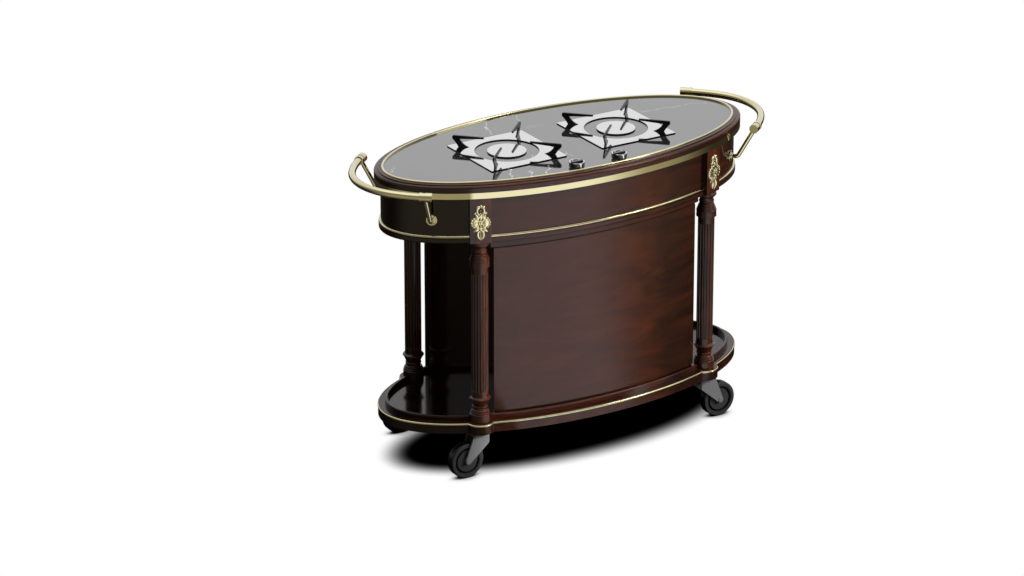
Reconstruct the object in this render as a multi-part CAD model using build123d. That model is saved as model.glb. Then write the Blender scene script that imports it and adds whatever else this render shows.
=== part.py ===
from build123d import *
from math import atan2, degrees, radians, sqrt
import os

# Oval two-burner cooking service cart, in millimetres.
# Origin on the floor under the middle of the table. X runs along the table, Y to the back, Z up.
# Every concentric oval is named by its inset from the edge of the table.

# Overall sizes
TABLE_LENGTH = 1123.0
TABLE_WIDTH = 531.0
CASTOR_HEIGHT = 126.0
SHELF_THICKNESS = 31.0
CABINET_HEIGHT = 514.0
APRON_HEIGHT = 130.0
TABLE_THICKNESS = 42.0

# Clearances
SEAT_GAP = 0.2
RUNNING_GAP = 0.05
BODY_GAP = 0.4

# Table top
BAND_HEIGHT = 16.5
BAND_THICKNESS = 2.5
OUTER_LEDGE_WIDTH = 10.0
OUTER_LEDGE_DROP = 7.0
OUTER_LEDGE_ROUND = 6.0
INNER_LEDGE_DROP = 4.0
INNER_LEDGE_ROUND = 2.0
RIM_INSET = 20.5
RIM_WIDTH = 6.5
RIM_ROUND = 2.6
STONE_THICKNESS = 20.0
STONE_DROP = 5.5
STONE_LEDGE_WIDTH = 12.5

# Apron and corner blocks
APRON_INSET = 17.5
APRON_BOARD = 18.0
MOULDING_INSET = 11.7
MOULDING_HEIGHT = 14.0
MOULDING_ROUND = 4.0
APRON_LINE_INSET = 12.5
APRON_LINE_HEIGHT = 8.0
APRON_LINE_ROUND = 3.8
COLUMN_SETBACK = 41.0
COLUMN_INSET = 7.0
BLOCK_WIDTH = 59.0
BLOCK_FACE = 22.0
BLOCK_BACK = 32.0
BLOCK_RISE = 3.0
BLOCK_ROUND = 1.5

# Turned columns: a list of members down from the block and one up from the shelf.
# A member has a height, the radius half way along it (None on a straight one) and the radius at its end.
COLUMN_TOP_RADIUS = 22.0
COLUMN_HEAD = (
    (12.5, 27.0, 21.5),
    (11.5, 19.0, 19.0),
    (5.5, 21.2, 18.8),
    (4.0, 17.8, 19.0),
    (5.5, 21.8, 21.2),
    (5.5, 23.8, 23.4),
    (5.5, 25.9, 25.5),
    (5.5, 27.9, 27.2),
    (15.0, None, 28.0),
    (1.5, None, 23.0),
)
FOOT_RADIUS = 29.0
COLUMN_FOOT = (
    (17.0, None, 28.2),
    (5.5, 28.4, 25.8),
    (5.5, 27.0, 23.6),
    (5.0, 24.8, 20.8),
    (6.5, 19.2, 19.6),
    (5.5, 22.2, 20.2),
    (20.0, 23.6, 29.5),
    (1.5, None, 29.2),
    (4.5, 25.0, 23.0),
)
SHAFT_RADIUS = 23.0
FLUTE_COUNT = 18
FLUTE_RADIUS = 3.4
FLUTE_DEPTH = 2.2
FLUTE_HEAD_MARGIN = 20.0
FLUTE_FOOT_MARGIN = 18.0
TENON_RADIUS = 12.0
TENON_LENGTH = 40.0

# Gilt ornament on each corner block
ORNAMENT_WIDTH = 57.0
ORNAMENT_HEIGHT = 103.0
ORNAMENT_DROP = 4.0
ORNAMENT_RELIEF = 3.0
ORNAMENT_BOSS_HEIGHT = 1.5
EYE_RADIUS = 9.0
PETAL_COUNT = 8
PETAL_RADIUS = 4.2
SIDE_LOBE_X = 16.0
SIDE_LOBE_RADIUS = 9.0
SIDE_TIP_RADIUS = 4.0
CORNER_LOBE_X = 10.0
CORNER_LOBE_Y = 14.5
CORNER_LOBE_RADIUS = 6.5
CURL_X = 13.5
CURL_Y = 25.5
CURL_RADIUS = 4.2
CROWN_Y = 36.0
CROWN_RADIUS = 12.0
CROWN_HOLE_RADIUS = 6.0
CROWN_LEAF_WIDTH = 9.0
CROWN_LEAF_LENGTH = 14.5
LEAF_BELLY = 0.45
STEM_WIDTH = 13.0
LOBE_HOLE_SHARE = 0.42

# Shelf
SHELF_INSET = 4.2
PAD_RADIUS = 39.0
SHELF_LINE_HEIGHT = 7.5
SHELF_LINE_THICKNESS = 2.5
SHELF_LINE_PROUD = 1.2
SHELF_LINE_ROUND = 3.2
SHELF_LIP_HEIGHT = 2.0
SHELF_LIP_SETBACK = 1.0
BEAD_LEDGE = 20.0
BEAD_WIDTH = 9.0
BEAD_HEIGHT = 14.0
BEAD_ROUND = 3.0

# Cabinet and doors
CABINET_LENGTH = 642.0
PANEL_THICKNESS = 18.0
SIDE_THICKNESS = 15.0
TOP_RAIL_HEIGHT = 20.5
TOP_RAIL_REACH = 10.0
TOP_RAIL_PROUD = 3.0
BOTTOM_RAIL_HEIGHT = 16.0
REVEAL_HEIGHT = 4.0
REVEAL_DEPTH = 6.0
SOFFIT_THICKNESS = 12.0
DOOR_GAP = 2.0
MEETING_GAP = 1.5
PIVOT_INSET = 8.0
PIVOT_RADIUS = 3.0
PIVOT_DEPTH = 9.0
PIVOT_COLLAR_RADIUS = 6.0
DOOR_KNOB_X = 24.0
DOOR_KNOB_HEIGHT = 250.0
DOOR_KNOB_RADIUS = 9.0
DOOR_KNOB_REACH = 20.0
CATCH_LENGTH = 46.0
CATCH_DEPTH = 14.0
CATCH_OVERLAP = 16.0

# Handles
HANDLE_STANDOFF = 59.5
HANDLE_DROP = 17.0
HANDLE_RADIUS = 10.0
HANDLE_MIDDLE_BEND = 178.0
HANDLE_MIDDLE_TURN = 34.0
HANDLE_FLANK_BEND = 328.0
HANDLE_FLANK_TURN = 20.4
COLLAR_RADIUS = 12.5
COLLAR_TURN = 5.8
COLLAR_CAP = 2.0
GROOVE_TURN = 0.4
GROOVE_DEPTH = 0.8
BRACKET_RADIUS = 6.0
BRACKET_BEND = 14.0
BRACKET_STUB = 22.0
BRACKET_SHARE = 0.42
ROSETTE_SETBACK = 113.0
ROSETTE_DROP = 64.0
ROSETTE_RADIUS = 15.0
ROSETTE_THICKNESS = 5.0
ROSETTE_BOSS_RADIUS = 9.5
ROSETTE_BOSS_HEIGHT = 3.0
ROSETTE_ROUND = 1.2

# Burners and pan supports
BURNER_X = 174.0
BURNER_Y = -9.0
PLATE_SIDE = 237.0
PLATE_THICKNESS = 3.0
PLATE_CORNER = 4.0
PLATE_HOLE_RADIUS = 87.0
PRONG_HEIGHT = 31.5
PRONG_THICKNESS = 4.8
PRONG_BAR_DEPTH = 9.0
PRONG_TIP_DEPTH = 4.5
PRONG_ROUND = 4.0
PRONG_INNER = 64.0
PRONG_OUTER = 151.0
PRONG_TOE = 105.0
PRONG_HEEL = 134.0
PRONG_THROAT = 131.0
PRONG_BOW_HEIGHT = 8.0
PRONG_INNER_BOW = 119.5
PRONG_OUTER_BOW = 139.0
BURNER_RADIUS = 45.0
BURNER_HEAD_RISE = 1.4
BURNER_CUP_DEPTH = 34.0
BURNER_FLANGE_RADIUS = 60.0
BURNER_FLANGE_THICKNESS = 3.0
PORT_COUNT = 30
PORT_WIDTH = 2.4
PORT_DEPTH = 1.2
CAP_RADIUS = 53.6
CAP_THICKNESS = 2.4
CAP_SPIGOT_RADIUS = 32.0
CAP_SPIGOT_DEPTH = 3.0

# Control knobs and gas taps
KNOB_SPREAD = 67.0
KNOB_MIDDLE = -12.0
KNOB_INSET = 53.7
KNOB_RADIUS = 21.3
KNOB_HEIGHT = 10.2
KNOB_CAVITY_RADIUS = 16.0
KNOB_CAVITY_DEPTH = 1.5
KNOB_TRAVEL = 2.5
KNOB_CLEARANCE = 1.7
KNOB_RING_HEIGHT = 2.5
KNOB_RING_WIDTH = 3.5
KNOB_RIDGE_WIDTH = 9.0
KNOB_RIDGE_HEIGHT = 5.0
INDEX_WIDTH = 3.0
INDEX_DEPTH = 1.0
SPINDLE_RADIUS = 4.0
SPINDLE_FLAT = 1.2
SPINDLE_GRIP = 5.6
SPINDLE_LENGTH = 53.5
TAP_NECK_RADIUS = 6.3
TAP_NECK_DROP = 4.0
TAP_FLANGE_RADIUS = 11.0
TAP_FLANGE_THICKNESS = 3.0
TAP_SIDE = 20.0
TAP_HEIGHT = 52.0
MANIFOLD_RADIUS = 7.0
MANIFOLD_END_X = 130.0
MANIFOLD_OVERHANG = 32.0
INLET_SETBACK = 88.8
INLET_BEND = 20.0
INLET_DROP = 34.0
NIPPLE_RADIUS = 4.5
NIPPLE_LENGTH = 25.0
NIPPLE_COLLAR_RADIUS = 9.0
NIPPLE_COLLAR_HEIGHT = 6.0
CLIP_WIDTH = 16.0
CLIP_THICKNESS = 3.0
FEED_RADIUS = 4.0
FEED_BEND = 30.0
FEED_RUN = 50.0

# Castors
WHEEL_RADIUS = 50.0
WHEEL_TRAIL = 46.0
TYRE_WIDTH = 26.0
TYRE_DEPTH = 11.0
TYRE_ROUND = 4.0
HUB_RIM_DEPTH = 1.5
HUB_RIM_WIDTH = 24.0
HUB_GROOVE_WIDTH = 14.0
HUB_DISC_RADIUS = 31.0
HUB_DISC_WIDTH = 23.0
HUB_SLOPE = 0.8
HUB_BOSS_RADIUS = 11.0
AXLE_RADIUS = 5.0
AXLE_HEAD_RADIUS = 7.5
AXLE_HEAD_HEIGHT = 1.5
FORK_GAP = 32.0
FORK_SHEET = 3.0
FORK_LENGTH = 46.0
FORK_SHIFT = 5.0
FORK_SKIRT = 31.0
FORK_SHOULDER = 9.5
FORK_CORNER = 7.0
FORK_END_RADIUS = 8.5
FORK_CROWN = 6.0
SWIVEL_RADIUS = 24.0
SWIVEL_HEIGHT = 1.5
HEAD_RADIUS = 27.0
HEAD_THICKNESS = 3.0
KINGPIN_RADIUS = 7.0
KINGPIN_HEAD_RADIUS = 11.0
KINGPIN_HEAD_HEIGHT = 4.0
STEM_RADIUS = 6.0
STEM_LENGTH = 70.0

# Levels worked out from the overall sizes
SHELF_BOTTOM = CASTOR_HEIGHT
SHELF_TOP = SHELF_BOTTOM + SHELF_THICKNESS
APRON_BOTTOM = SHELF_TOP + CABINET_HEIGHT
TABLE_BOTTOM = APRON_BOTTOM + APRON_HEIGHT
RIM_TOP = TABLE_BOTTOM + TABLE_THICKNESS
STONE_TOP = RIM_TOP - STONE_DROP
STONE_BOTTOM = STONE_TOP - STONE_THICKNESS
BLOCK_BOTTOM = APRON_BOTTOM + BLOCK_RISE
BLOCK_MIDDLE = (BLOCK_BOTTOM + TABLE_BOTTOM) / 2
RAIL_BOTTOM = APRON_BOTTOM - TOP_RAIL_HEIGHT
DOOR_BOTTOM = SHELF_TOP + BOTTOM_RAIL_HEIGHT + DOOR_GAP
DOOR_TOP = RAIL_BOTTOM - DOOR_GAP
HANDLE_LEVEL = RIM_TOP - HANDLE_DROP
ROSETTE_LEVEL = TABLE_BOTTOM - ROSETTE_DROP
PLATE_TOP = STONE_TOP + PLATE_THICKNESS
HEAD_TOP = STONE_TOP + BURNER_HEAD_RISE
KNOB_BOTTOM = STONE_TOP + KNOB_TRAVEL + KNOB_CLEARANCE
SPINDLE_TOP = KNOB_BOTTOM + SPINDLE_GRIP
TAP_BOTTOM = STONE_BOTTOM - TAP_HEIGHT
MANIFOLD_LEVEL = TAP_BOTTOM + TAP_SIDE / 2
FEED_LEVEL = MANIFOLD_LEVEL + TAP_SIDE / 2 + FEED_RADIUS + 2 * BODY_GAP
HEAD_BOTTOM = CASTOR_HEIGHT - HEAD_THICKNESS
FORK_TOP = HEAD_BOTTOM - BODY_GAP - SWIVEL_HEIGHT

# Insets and places worked out from the same sizes
COLUMN_X = CABINET_LENGTH / 2 + COLUMN_SETBACK
ROSETTE_X = COLUMN_X + ROSETTE_SETBACK
HANDLE_REACH = TABLE_LENGTH / 2 + HANDLE_STANDOFF
KNOB_Y = KNOB_INSET - TABLE_WIDTH / 2
INLET_Y = KNOB_Y + INLET_SETBACK
FEED_TURN_Y = BURNER_Y - BURNER_RADIUS - FEED_RUN
STONE_INSET = RIM_INSET + RIM_WIDTH + SEAT_GAP
OPENING_INSET = STONE_INSET + STONE_LEDGE_WIDTH
APRON_INNER_INSET = APRON_INSET + APRON_BOARD
BEAD_INSET = SHELF_INSET + BEAD_LEDGE
CABINET_INSET = BEAD_INSET + BEAD_WIDTH + SEAT_GAP
PANEL_INNER_INSET = CABINET_INSET + PANEL_THICKNESS
CABINET_HALF = CABINET_LENGTH / 2
PIVOT_X = CABINET_HALF - PIVOT_INSET
BURNER_HOLE_RADIUS = BURNER_RADIUS + 2 * BODY_GAP
SPINDLE_HOLE_RADIUS = TAP_NECK_RADIUS + BODY_GAP

SIDES = {"left": -1, "right": 1}
CORNERS = {
    "front_left": (-1, -1),
    "front_right": (1, -1),
    "rear_left": (-1, 1),
    "rear_right": (1, 1),
}
UPWARD = (Align.CENTER, Align.CENTER, Align.MIN)
DOWNWARD = (Align.CENTER, Align.CENTER, Align.MAX)


# Ovals

def semi_axes(inset):
    return TABLE_LENGTH / 2 - inset, TABLE_WIDTH / 2 - inset


def oval(inset):
    return Ellipse(*semi_axes(inset))


def oval_y(inset, x):
    """Half width of an oval at a place along its length."""
    long_axis, short_axis = semi_axes(inset)
    return short_axis * sqrt(1 - (x / long_axis) ** 2)


def oval_normal(inset, x, y):
    """Outward unit direction at a point of an oval."""
    long_axis, short_axis = semi_axes(inset)
    along, across = x / long_axis**2, y / short_axis**2
    size = sqrt(along**2 + across**2)
    return along / size, across / size


def raised(sketch, low, high):
    """A flat outline made into a solid between two levels."""
    return Pos(0, 0, low) * extrude(sketch, amount=high - low)


def oval_wall(outer, inner, low, high):
    return raised(oval(outer) - oval(inner), low, high)


def top_edges(part):
    return part.faces().sort_by(Axis.Z)[-1].edges()


def bottom_outer_edge(part):
    return part.faces().sort_by(Axis.Z)[0].edges().sort_by(SortBy.LENGTH)[-1]


def long_outer_edges(ring):
    """The outer top and bottom edges of a plain oval ring."""
    levels = ring.edges().group_by(Axis.Z)
    return [levels[index].sort_by(SortBy.LENGTH)[-1] for index in (0, -1)]


def disc(radius, low, high):
    return Pos(0, 0, low) * Cylinder(radius, high - low, align=UPWARD)


def group(solids):
    """Several separate solids kept together as one node."""
    return Compound(children=[solid for part in solids for solid in part.solids()])


# Corners of the cart, with the local Y axis pointing out of the oval

COLUMN_Y = oval_y(APRON_INSET + COLUMN_INSET, COLUMN_X)


def corner_frame(corner):
    side, end = CORNERS[corner]
    x, y = side * COLUMN_X, end * COLUMN_Y
    out_x, out_y = oval_normal(APRON_INSET + COLUMN_INSET, x, y)
    return Pos(x, y, 0) * Rot(0, 0, degrees(atan2(-out_x, out_y)))


def corner_block(corner, low, high, grow=0.0):
    depth = BLOCK_FACE + BLOCK_BACK + 2 * grow
    block = Box(BLOCK_WIDTH + 2 * grow, depth, high - low, align=UPWARD)
    return corner_frame(corner) * Pos(0, (BLOCK_FACE - BLOCK_BACK) / 2, low) * block


def between_blocks(ring):
    """An oval ring cut where the corner blocks pass through it."""
    low, high = ring.bounding_box().min.Z, ring.bounding_box().max.Z
    for corner in CORNERS:
        ring -= corner_block(corner, low, high, SEAT_GAP)
    return ring


# Places on the worktop

def burner_place(side):
    return Pos(side * BURNER_X, BURNER_Y, 0)


def knob_x(side):
    return KNOB_MIDDLE + side * KNOB_SPREAD


def knob_place(side):
    return Pos(knob_x(side), KNOB_Y, 0)


# Table top

def table_frame():
    band_top = TABLE_BOTTOM + BAND_HEIGHT
    outer_ledge = RIM_TOP - OUTER_LEDGE_DROP
    inner_ledge = RIM_TOP - INNER_LEDGE_DROP
    fascia = raised(oval(0), band_top, outer_ledge)
    fascia = fillet(top_edges(fascia), OUTER_LEDGE_ROUND)
    step = raised(oval(OUTER_LEDGE_WIDTH), band_top, inner_ledge)
    step = fillet(top_edges(step), INNER_LEDGE_ROUND)
    frame = raised(oval(BAND_THICKNESS + SEAT_GAP), TABLE_BOTTOM, band_top) + fascia + step
    frame -= raised(oval(RIM_INSET - SEAT_GAP), STONE_BOTTOM, RIM_TOP)
    return frame - raised(oval(OPENING_INSET), TABLE_BOTTOM, RIM_TOP)


def edge_band():
    return oval_wall(0, BAND_THICKNESS, TABLE_BOTTOM, TABLE_BOTTOM + BAND_HEIGHT)


def stone_rim():
    rim = oval_wall(RIM_INSET, RIM_INSET + RIM_WIDTH, STONE_BOTTOM, RIM_TOP)
    return fillet(top_edges(rim), RIM_ROUND)


def stone_top():
    stone = raised(oval(STONE_INSET), STONE_BOTTOM, STONE_TOP)
    for side in SIDES.values():
        stone -= burner_place(side) * disc(BURNER_HOLE_RADIUS, STONE_BOTTOM, STONE_TOP)
        stone -= knob_place(side) * disc(SPINDLE_HOLE_RADIUS, STONE_BOTTOM, STONE_TOP)
    return stone


# Apron

def apron_boards():
    return between_blocks(oval_wall(APRON_INSET, APRON_INNER_INSET, APRON_BOTTOM, TABLE_BOTTOM))


def apron_mouldings():
    inner = APRON_INSET - SEAT_GAP
    ring = oval_wall(MOULDING_INSET, inner, APRON_BOTTOM, APRON_BOTTOM + MOULDING_HEIGHT)
    return between_blocks(fillet(bottom_outer_edge(ring), MOULDING_ROUND))


def apron_brass_lines():
    low = APRON_BOTTOM + MOULDING_HEIGHT
    inner = APRON_INSET - SEAT_GAP
    ring = oval_wall(APRON_LINE_INSET, inner, low, low + APRON_LINE_HEIGHT)
    return between_blocks(fillet(long_outer_edges(ring), APRON_LINE_ROUND))


def soffit_board():
    board = raised(oval(APRON_INNER_INSET + SEAT_GAP), APRON_BOTTOM, APRON_BOTTOM + SOFFIT_THICKNESS)
    board -= Pos(MANIFOLD_END_X, INLET_Y, APRON_BOTTOM) * Cylinder(
        MANIFOLD_RADIUS + 2 * BODY_GAP, SOFFIT_THICKNESS, align=UPWARD
    )
    return between_blocks(board)


# Legs: a turned, fluted column tenoned into a square block at the apron

def members_height(members):
    return sum(height for height, _, _ in members)


def turned_edges(radius, level, up, members):
    """Edges of one turned stretch, member after member along the column."""
    edges = []
    for height, middle, end in members:
        last = level + up * height
        if middle is None:
            edges.append(Line((radius, level), (end, last)))
        else:
            edges.append(ThreePointArc((radius, level), (middle, (level + last) / 2), (end, last)))
        radius, level = end, last
    return edges


def column_profile():
    """Half section of the column, with the tenon on top."""
    top, foot = BLOCK_BOTTOM, SHELF_TOP
    tenon_top = top + TENON_LENGTH
    head_end = top - members_height(COLUMN_HEAD)
    foot_end = foot + members_height(COLUMN_FOOT)
    edges = turned_edges(COLUMN_TOP_RADIUS, top, -1, COLUMN_HEAD)
    edges += turned_edges(FOOT_RADIUS, foot, 1, COLUMN_FOOT)
    edges.append(Line((SHAFT_RADIUS, head_end), (SHAFT_RADIUS, foot_end)))
    edges.append(
        Polyline(
            (FOOT_RADIUS, foot), (0, foot), (0, tenon_top),
            (TENON_RADIUS, tenon_top), (TENON_RADIUS, top), (COLUMN_TOP_RADIUS, top),
        )
    )
    return Plane.XZ * make_face(edges)


def flute_cutters():
    low = SHELF_TOP + members_height(COLUMN_FOOT) + FLUTE_FOOT_MARGIN
    high = BLOCK_BOTTOM - members_height(COLUMN_HEAD) - FLUTE_HEAD_MARGIN
    ring = SHAFT_RADIUS + FLUTE_RADIUS - FLUTE_DEPTH
    flute = disc(FLUTE_RADIUS, low, high)
    flute += Pos(0, 0, low) * Sphere(FLUTE_RADIUS)
    flute += Pos(0, 0, high) * Sphere(FLUTE_RADIUS)
    return [place * flute for place in PolarLocations(ring, FLUTE_COUNT)]


def fluted_column():
    column = revolve(column_profile(), axis=Axis.Z)
    column -= flute_cutters()
    return column - disc(STEM_RADIUS + RUNNING_GAP, SHELF_TOP, CASTOR_HEIGHT + STEM_LENGTH + 1)


def leg_block(corner):
    """Square block with softened front edges and a bore for the column's tenon."""
    block = Box(BLOCK_WIDTH, BLOCK_FACE + BLOCK_BACK, TABLE_BOTTOM - BLOCK_BOTTOM, align=UPWARD)
    block = fillet(block.edges().filter_by(Axis.Z).group_by(Axis.Y)[-1], BLOCK_ROUND)
    block = Pos(0, (BLOCK_FACE - BLOCK_BACK) / 2, BLOCK_BOTTOM) * block
    bore_top = BLOCK_BOTTOM + TENON_LENGTH + BODY_GAP
    return corner_frame(corner) * (block - disc(TENON_RADIUS + RUNNING_GAP, BLOCK_BOTTOM, bore_top))


# Gilt ornaments: a pierced rosette with scroll loops and leaf tips

def leaf(width, length):
    """Pointed leaf standing on the origin."""
    with BuildSketch() as outline:
        with BuildLine():
            ThreePointArc((0, 0), (width / 2, length * LEAF_BELLY), (0, length))
            ThreePointArc((0, length), (-width / 2, length * LEAF_BELLY), (0, 0))
        make_face()
    return outline.sketch


def pierced(radius):
    return Circle(radius) - Circle(radius * LOBE_HOLE_SHARE)


def ornament_outline():
    half_width, half_height = ORNAMENT_WIDTH / 2, ORNAMENT_HEIGHT / 2
    outline = Circle(EYE_RADIUS)
    for place in PolarLocations(EYE_RADIUS, PETAL_COUNT):
        outline += place * Circle(PETAL_RADIUS)
    outline += Rectangle(STEM_WIDTH, 2 * (CROWN_Y - CROWN_HOLE_RADIUS))
    for side in (-1, 1):
        outline += Pos(side * SIDE_LOBE_X, 0) * pierced(SIDE_LOBE_RADIUS)
        outline += Pos(side * (half_width - SIDE_TIP_RADIUS), 0) * Circle(SIDE_TIP_RADIUS)
        for up in (-1, 1):
            outline += Pos(side * CORNER_LOBE_X, up * CORNER_LOBE_Y) * pierced(CORNER_LOBE_RADIUS)
            outline += Pos(side * CURL_X, up * CURL_Y) * Circle(CURL_RADIUS)
    outline += Rectangle(2 * CURL_X, 2 * (CURL_Y + CURL_RADIUS)) - Rectangle(2 * CURL_X, 2 * CURL_Y)
    for turn in (0, 180):
        ring = Pos(0, CROWN_Y) * (Circle(CROWN_RADIUS) - Circle(CROWN_HOLE_RADIUS))
        tip = Pos(0, half_height - CROWN_LEAF_LENGTH) * leaf(CROWN_LEAF_WIDTH, CROWN_LEAF_LENGTH)
        outline += Rot(0, 0, turn) * (ring + tip)
    return outline


def ornament():
    """The ornament in the X-Z plane, standing out along +Y from the origin."""
    relief = extrude(ornament_outline(), amount=ORNAMENT_RELIEF)
    tip_x = ORNAMENT_WIDTH / 2 - SIDE_TIP_RADIUS
    for x, radius in ((0, EYE_RADIUS), (tip_x, SIDE_TIP_RADIUS), (-tip_x, SIDE_TIP_RADIUS)):
        boss = Cylinder(radius * 0.8, ORNAMENT_BOSS_HEIGHT, align=UPWARD)
        relief += Pos(x, 0, ORNAMENT_RELIEF) * boss
    return Rot(-90, 0, 0) * Rot(0, 0, 180) * relief


def corner_ornaments():
    single = ornament()
    return group(
        corner_frame(corner) * Pos(0, BLOCK_FACE, BLOCK_MIDDLE - ORNAMENT_DROP) * single for corner in CORNERS
    )


# Shelf

def shelf_outline(setback):
    outline = oval(SHELF_INSET + setback)
    for corner in CORNERS:
        outline += corner_frame(corner) * Circle(PAD_RADIUS - setback)
    return outline


SHELF_LINE_TOP = SHELF_TOP - SHELF_LIP_HEIGHT
SHELF_LINE_BOTTOM = SHELF_LINE_TOP - SHELF_LINE_HEIGHT


def shelf_board():
    board = raised(shelf_outline(0), SHELF_BOTTOM, SHELF_LINE_BOTTOM)
    board += raised(shelf_outline(SHELF_LINE_THICKNESS + SEAT_GAP), SHELF_LINE_BOTTOM, SHELF_LINE_TOP)
    board += raised(shelf_outline(SHELF_LIP_SETBACK), SHELF_LINE_TOP, SHELF_TOP)
    for corner in CORNERS:
        board -= corner_frame(corner) * disc(STEM_RADIUS + RUNNING_GAP, SHELF_BOTTOM, SHELF_TOP)
    return board


def shelf_brass_line():
    """Half-round strip let into the edge of the shelf."""
    inner = raised(shelf_outline(SHELF_LINE_THICKNESS), SHELF_LINE_BOTTOM, SHELF_LINE_TOP)
    strip = raised(shelf_outline(-SHELF_LINE_PROUD), SHELF_LINE_BOTTOM, SHELF_LINE_TOP)
    levels = strip.edges().group_by(Axis.Z)
    return fillet([*levels[0], *levels[-1]], SHELF_LINE_ROUND) - inner


def shelf_bead():
    """Four rounded strips between the feet of the columns."""
    strip = oval(BEAD_INSET) - oval(BEAD_INSET + BEAD_WIDTH)
    for corner in CORNERS:
        strip -= corner_frame(corner) * Circle(FOOT_RADIUS + BODY_GAP)
    bead = raised(strip, SHELF_TOP, SHELF_TOP + BEAD_HEIGHT)
    long_edges = [edge for edge in bead.edges().group_by(Axis.Z)[-1] if edge.length > 4 * BEAD_WIDTH]
    return fillet(long_edges, BEAD_ROUND)


# Cabinet

def bow_panel(proud, x_low, x_high, end, low, high):
    """A bowed board that follows the cabinet's oval on one side of the cart."""
    wall = oval_wall(CABINET_INSET - proud, PANEL_INNER_INSET, low, high)
    window = Pos((x_low + x_high) / 2, 0, low) * Box(
        x_high - x_low, TABLE_WIDTH / 2, high - low,
        align=(Align.CENTER, Align.MIN if end > 0 else Align.MAX, Align.MIN),
    )
    return wall & window


def pivot_place(side):
    middle = (oval_y(CABINET_INSET, PIVOT_X) + oval_y(PANEL_INNER_INSET, PIVOT_X)) / 2
    return Pos(side * PIVOT_X, middle, 0)


def pivot_bores(low, high):
    return [pivot_place(side) * disc(PIVOT_RADIUS + RUNNING_GAP, low, high) for side in SIDES.values()]


def front_panel():
    """Bowed front with a shadow gap above the shelf's bead and another below the top rail."""
    low, high = SHELF_TOP + BEAD_HEIGHT + REVEAL_HEIGHT, RAIL_BOTTOM - REVEAL_HEIGHT
    board = bow_panel(-REVEAL_DEPTH, -CABINET_HALF, CABINET_HALF, -1, SHELF_TOP, RAIL_BOTTOM)
    return board + bow_panel(0, -CABINET_HALF, CABINET_HALF, -1, low, high)


def cabinet_rails():
    reach = CABINET_HALF + TOP_RAIL_REACH
    front = bow_panel(TOP_RAIL_PROUD, -reach, reach, -1, RAIL_BOTTOM, APRON_BOTTOM)
    rear = bow_panel(TOP_RAIL_PROUD, -CABINET_HALF, CABINET_HALF, 1, RAIL_BOTTOM, APRON_BOTTOM)
    sill_top = SHELF_TOP + BOTTOM_RAIL_HEIGHT
    sill = bow_panel(0, -CABINET_HALF, CABINET_HALF, 1, SHELF_TOP, sill_top)
    rear -= pivot_bores(RAIL_BOTTOM, RAIL_BOTTOM + PIVOT_DEPTH)
    sill -= pivot_bores(sill_top - PIVOT_DEPTH, sill_top)
    return group([front, rear, sill])


def side_panels():
    """Flat cabinet ends, cut back at the rear so that the door's edge can turn past them."""
    swing = sqrt(PIVOT_INSET**2 + (PANEL_THICKNESS / 2 + PIVOT_INSET / 2) ** 2)
    rear = oval_y(PANEL_INNER_INSET, PIVOT_X) + PANEL_THICKNESS / 2 - swing - DOOR_GAP
    front = oval_y(PANEL_INNER_INSET, CABINET_HALF - SIDE_THICKNESS)
    boards = []
    for side in SIDES.values():
        x = side * (CABINET_HALF - SIDE_THICKNESS / 2)
        board = Pos(x, (rear - front) / 2, SHELF_TOP) * Box(
            SIDE_THICKNESS, rear + front, CABINET_HEIGHT, align=UPWARD
        )
        boards.append(board & raised(oval(PANEL_INNER_INSET + SEAT_GAP), SHELF_TOP, APRON_BOTTOM))
    return group(boards)


def door(side):
    near, far = MEETING_GAP / 2, CABINET_HALF
    x_low, x_high = (near, far) if side > 0 else (-far, -near)
    leaf_board = bow_panel(0, x_low, x_high, 1, DOOR_BOTTOM, DOOR_TOP)
    leaf_board -= pivot_bores(DOOR_BOTTOM, DOOR_BOTTOM + PIVOT_DEPTH + 1)
    leaf_board -= pivot_bores(DOOR_TOP - PIVOT_DEPTH - 1, DOOR_TOP)
    return leaf_board


def pivot_pin(level, up):
    """Pin that stands in a rail and reaches into the door, with a collar in the gap."""
    pin = Cylinder(PIVOT_RADIUS, 2 * PIVOT_DEPTH + DOOR_GAP - 1)
    collar = Cylinder(PIVOT_COLLAR_RADIUS, DOOR_GAP - 2 * RUNNING_GAP)
    return Pos(0, 0, level + up * DOOR_GAP / 2) * (pin + collar)


def door_fittings():
    solids = []
    for side in SIDES.values():
        solids.append(pivot_place(side) * pivot_pin(RAIL_BOTTOM, -1))
        solids.append(pivot_place(side) * pivot_pin(SHELF_TOP + BOTTOM_RAIL_HEIGHT, 1))
    catch_face = oval_y(PANEL_INNER_INSET, CATCH_LENGTH / 2) - BODY_GAP
    catch_height = APRON_BOTTOM - DOOR_TOP + CATCH_OVERLAP
    catch = Box(CATCH_LENGTH, CATCH_DEPTH, catch_height, align=(Align.CENTER, Align.MAX, Align.MAX))
    solids.append(Pos(0, catch_face, APRON_BOTTOM) * catch)
    return group(solids)


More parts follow.
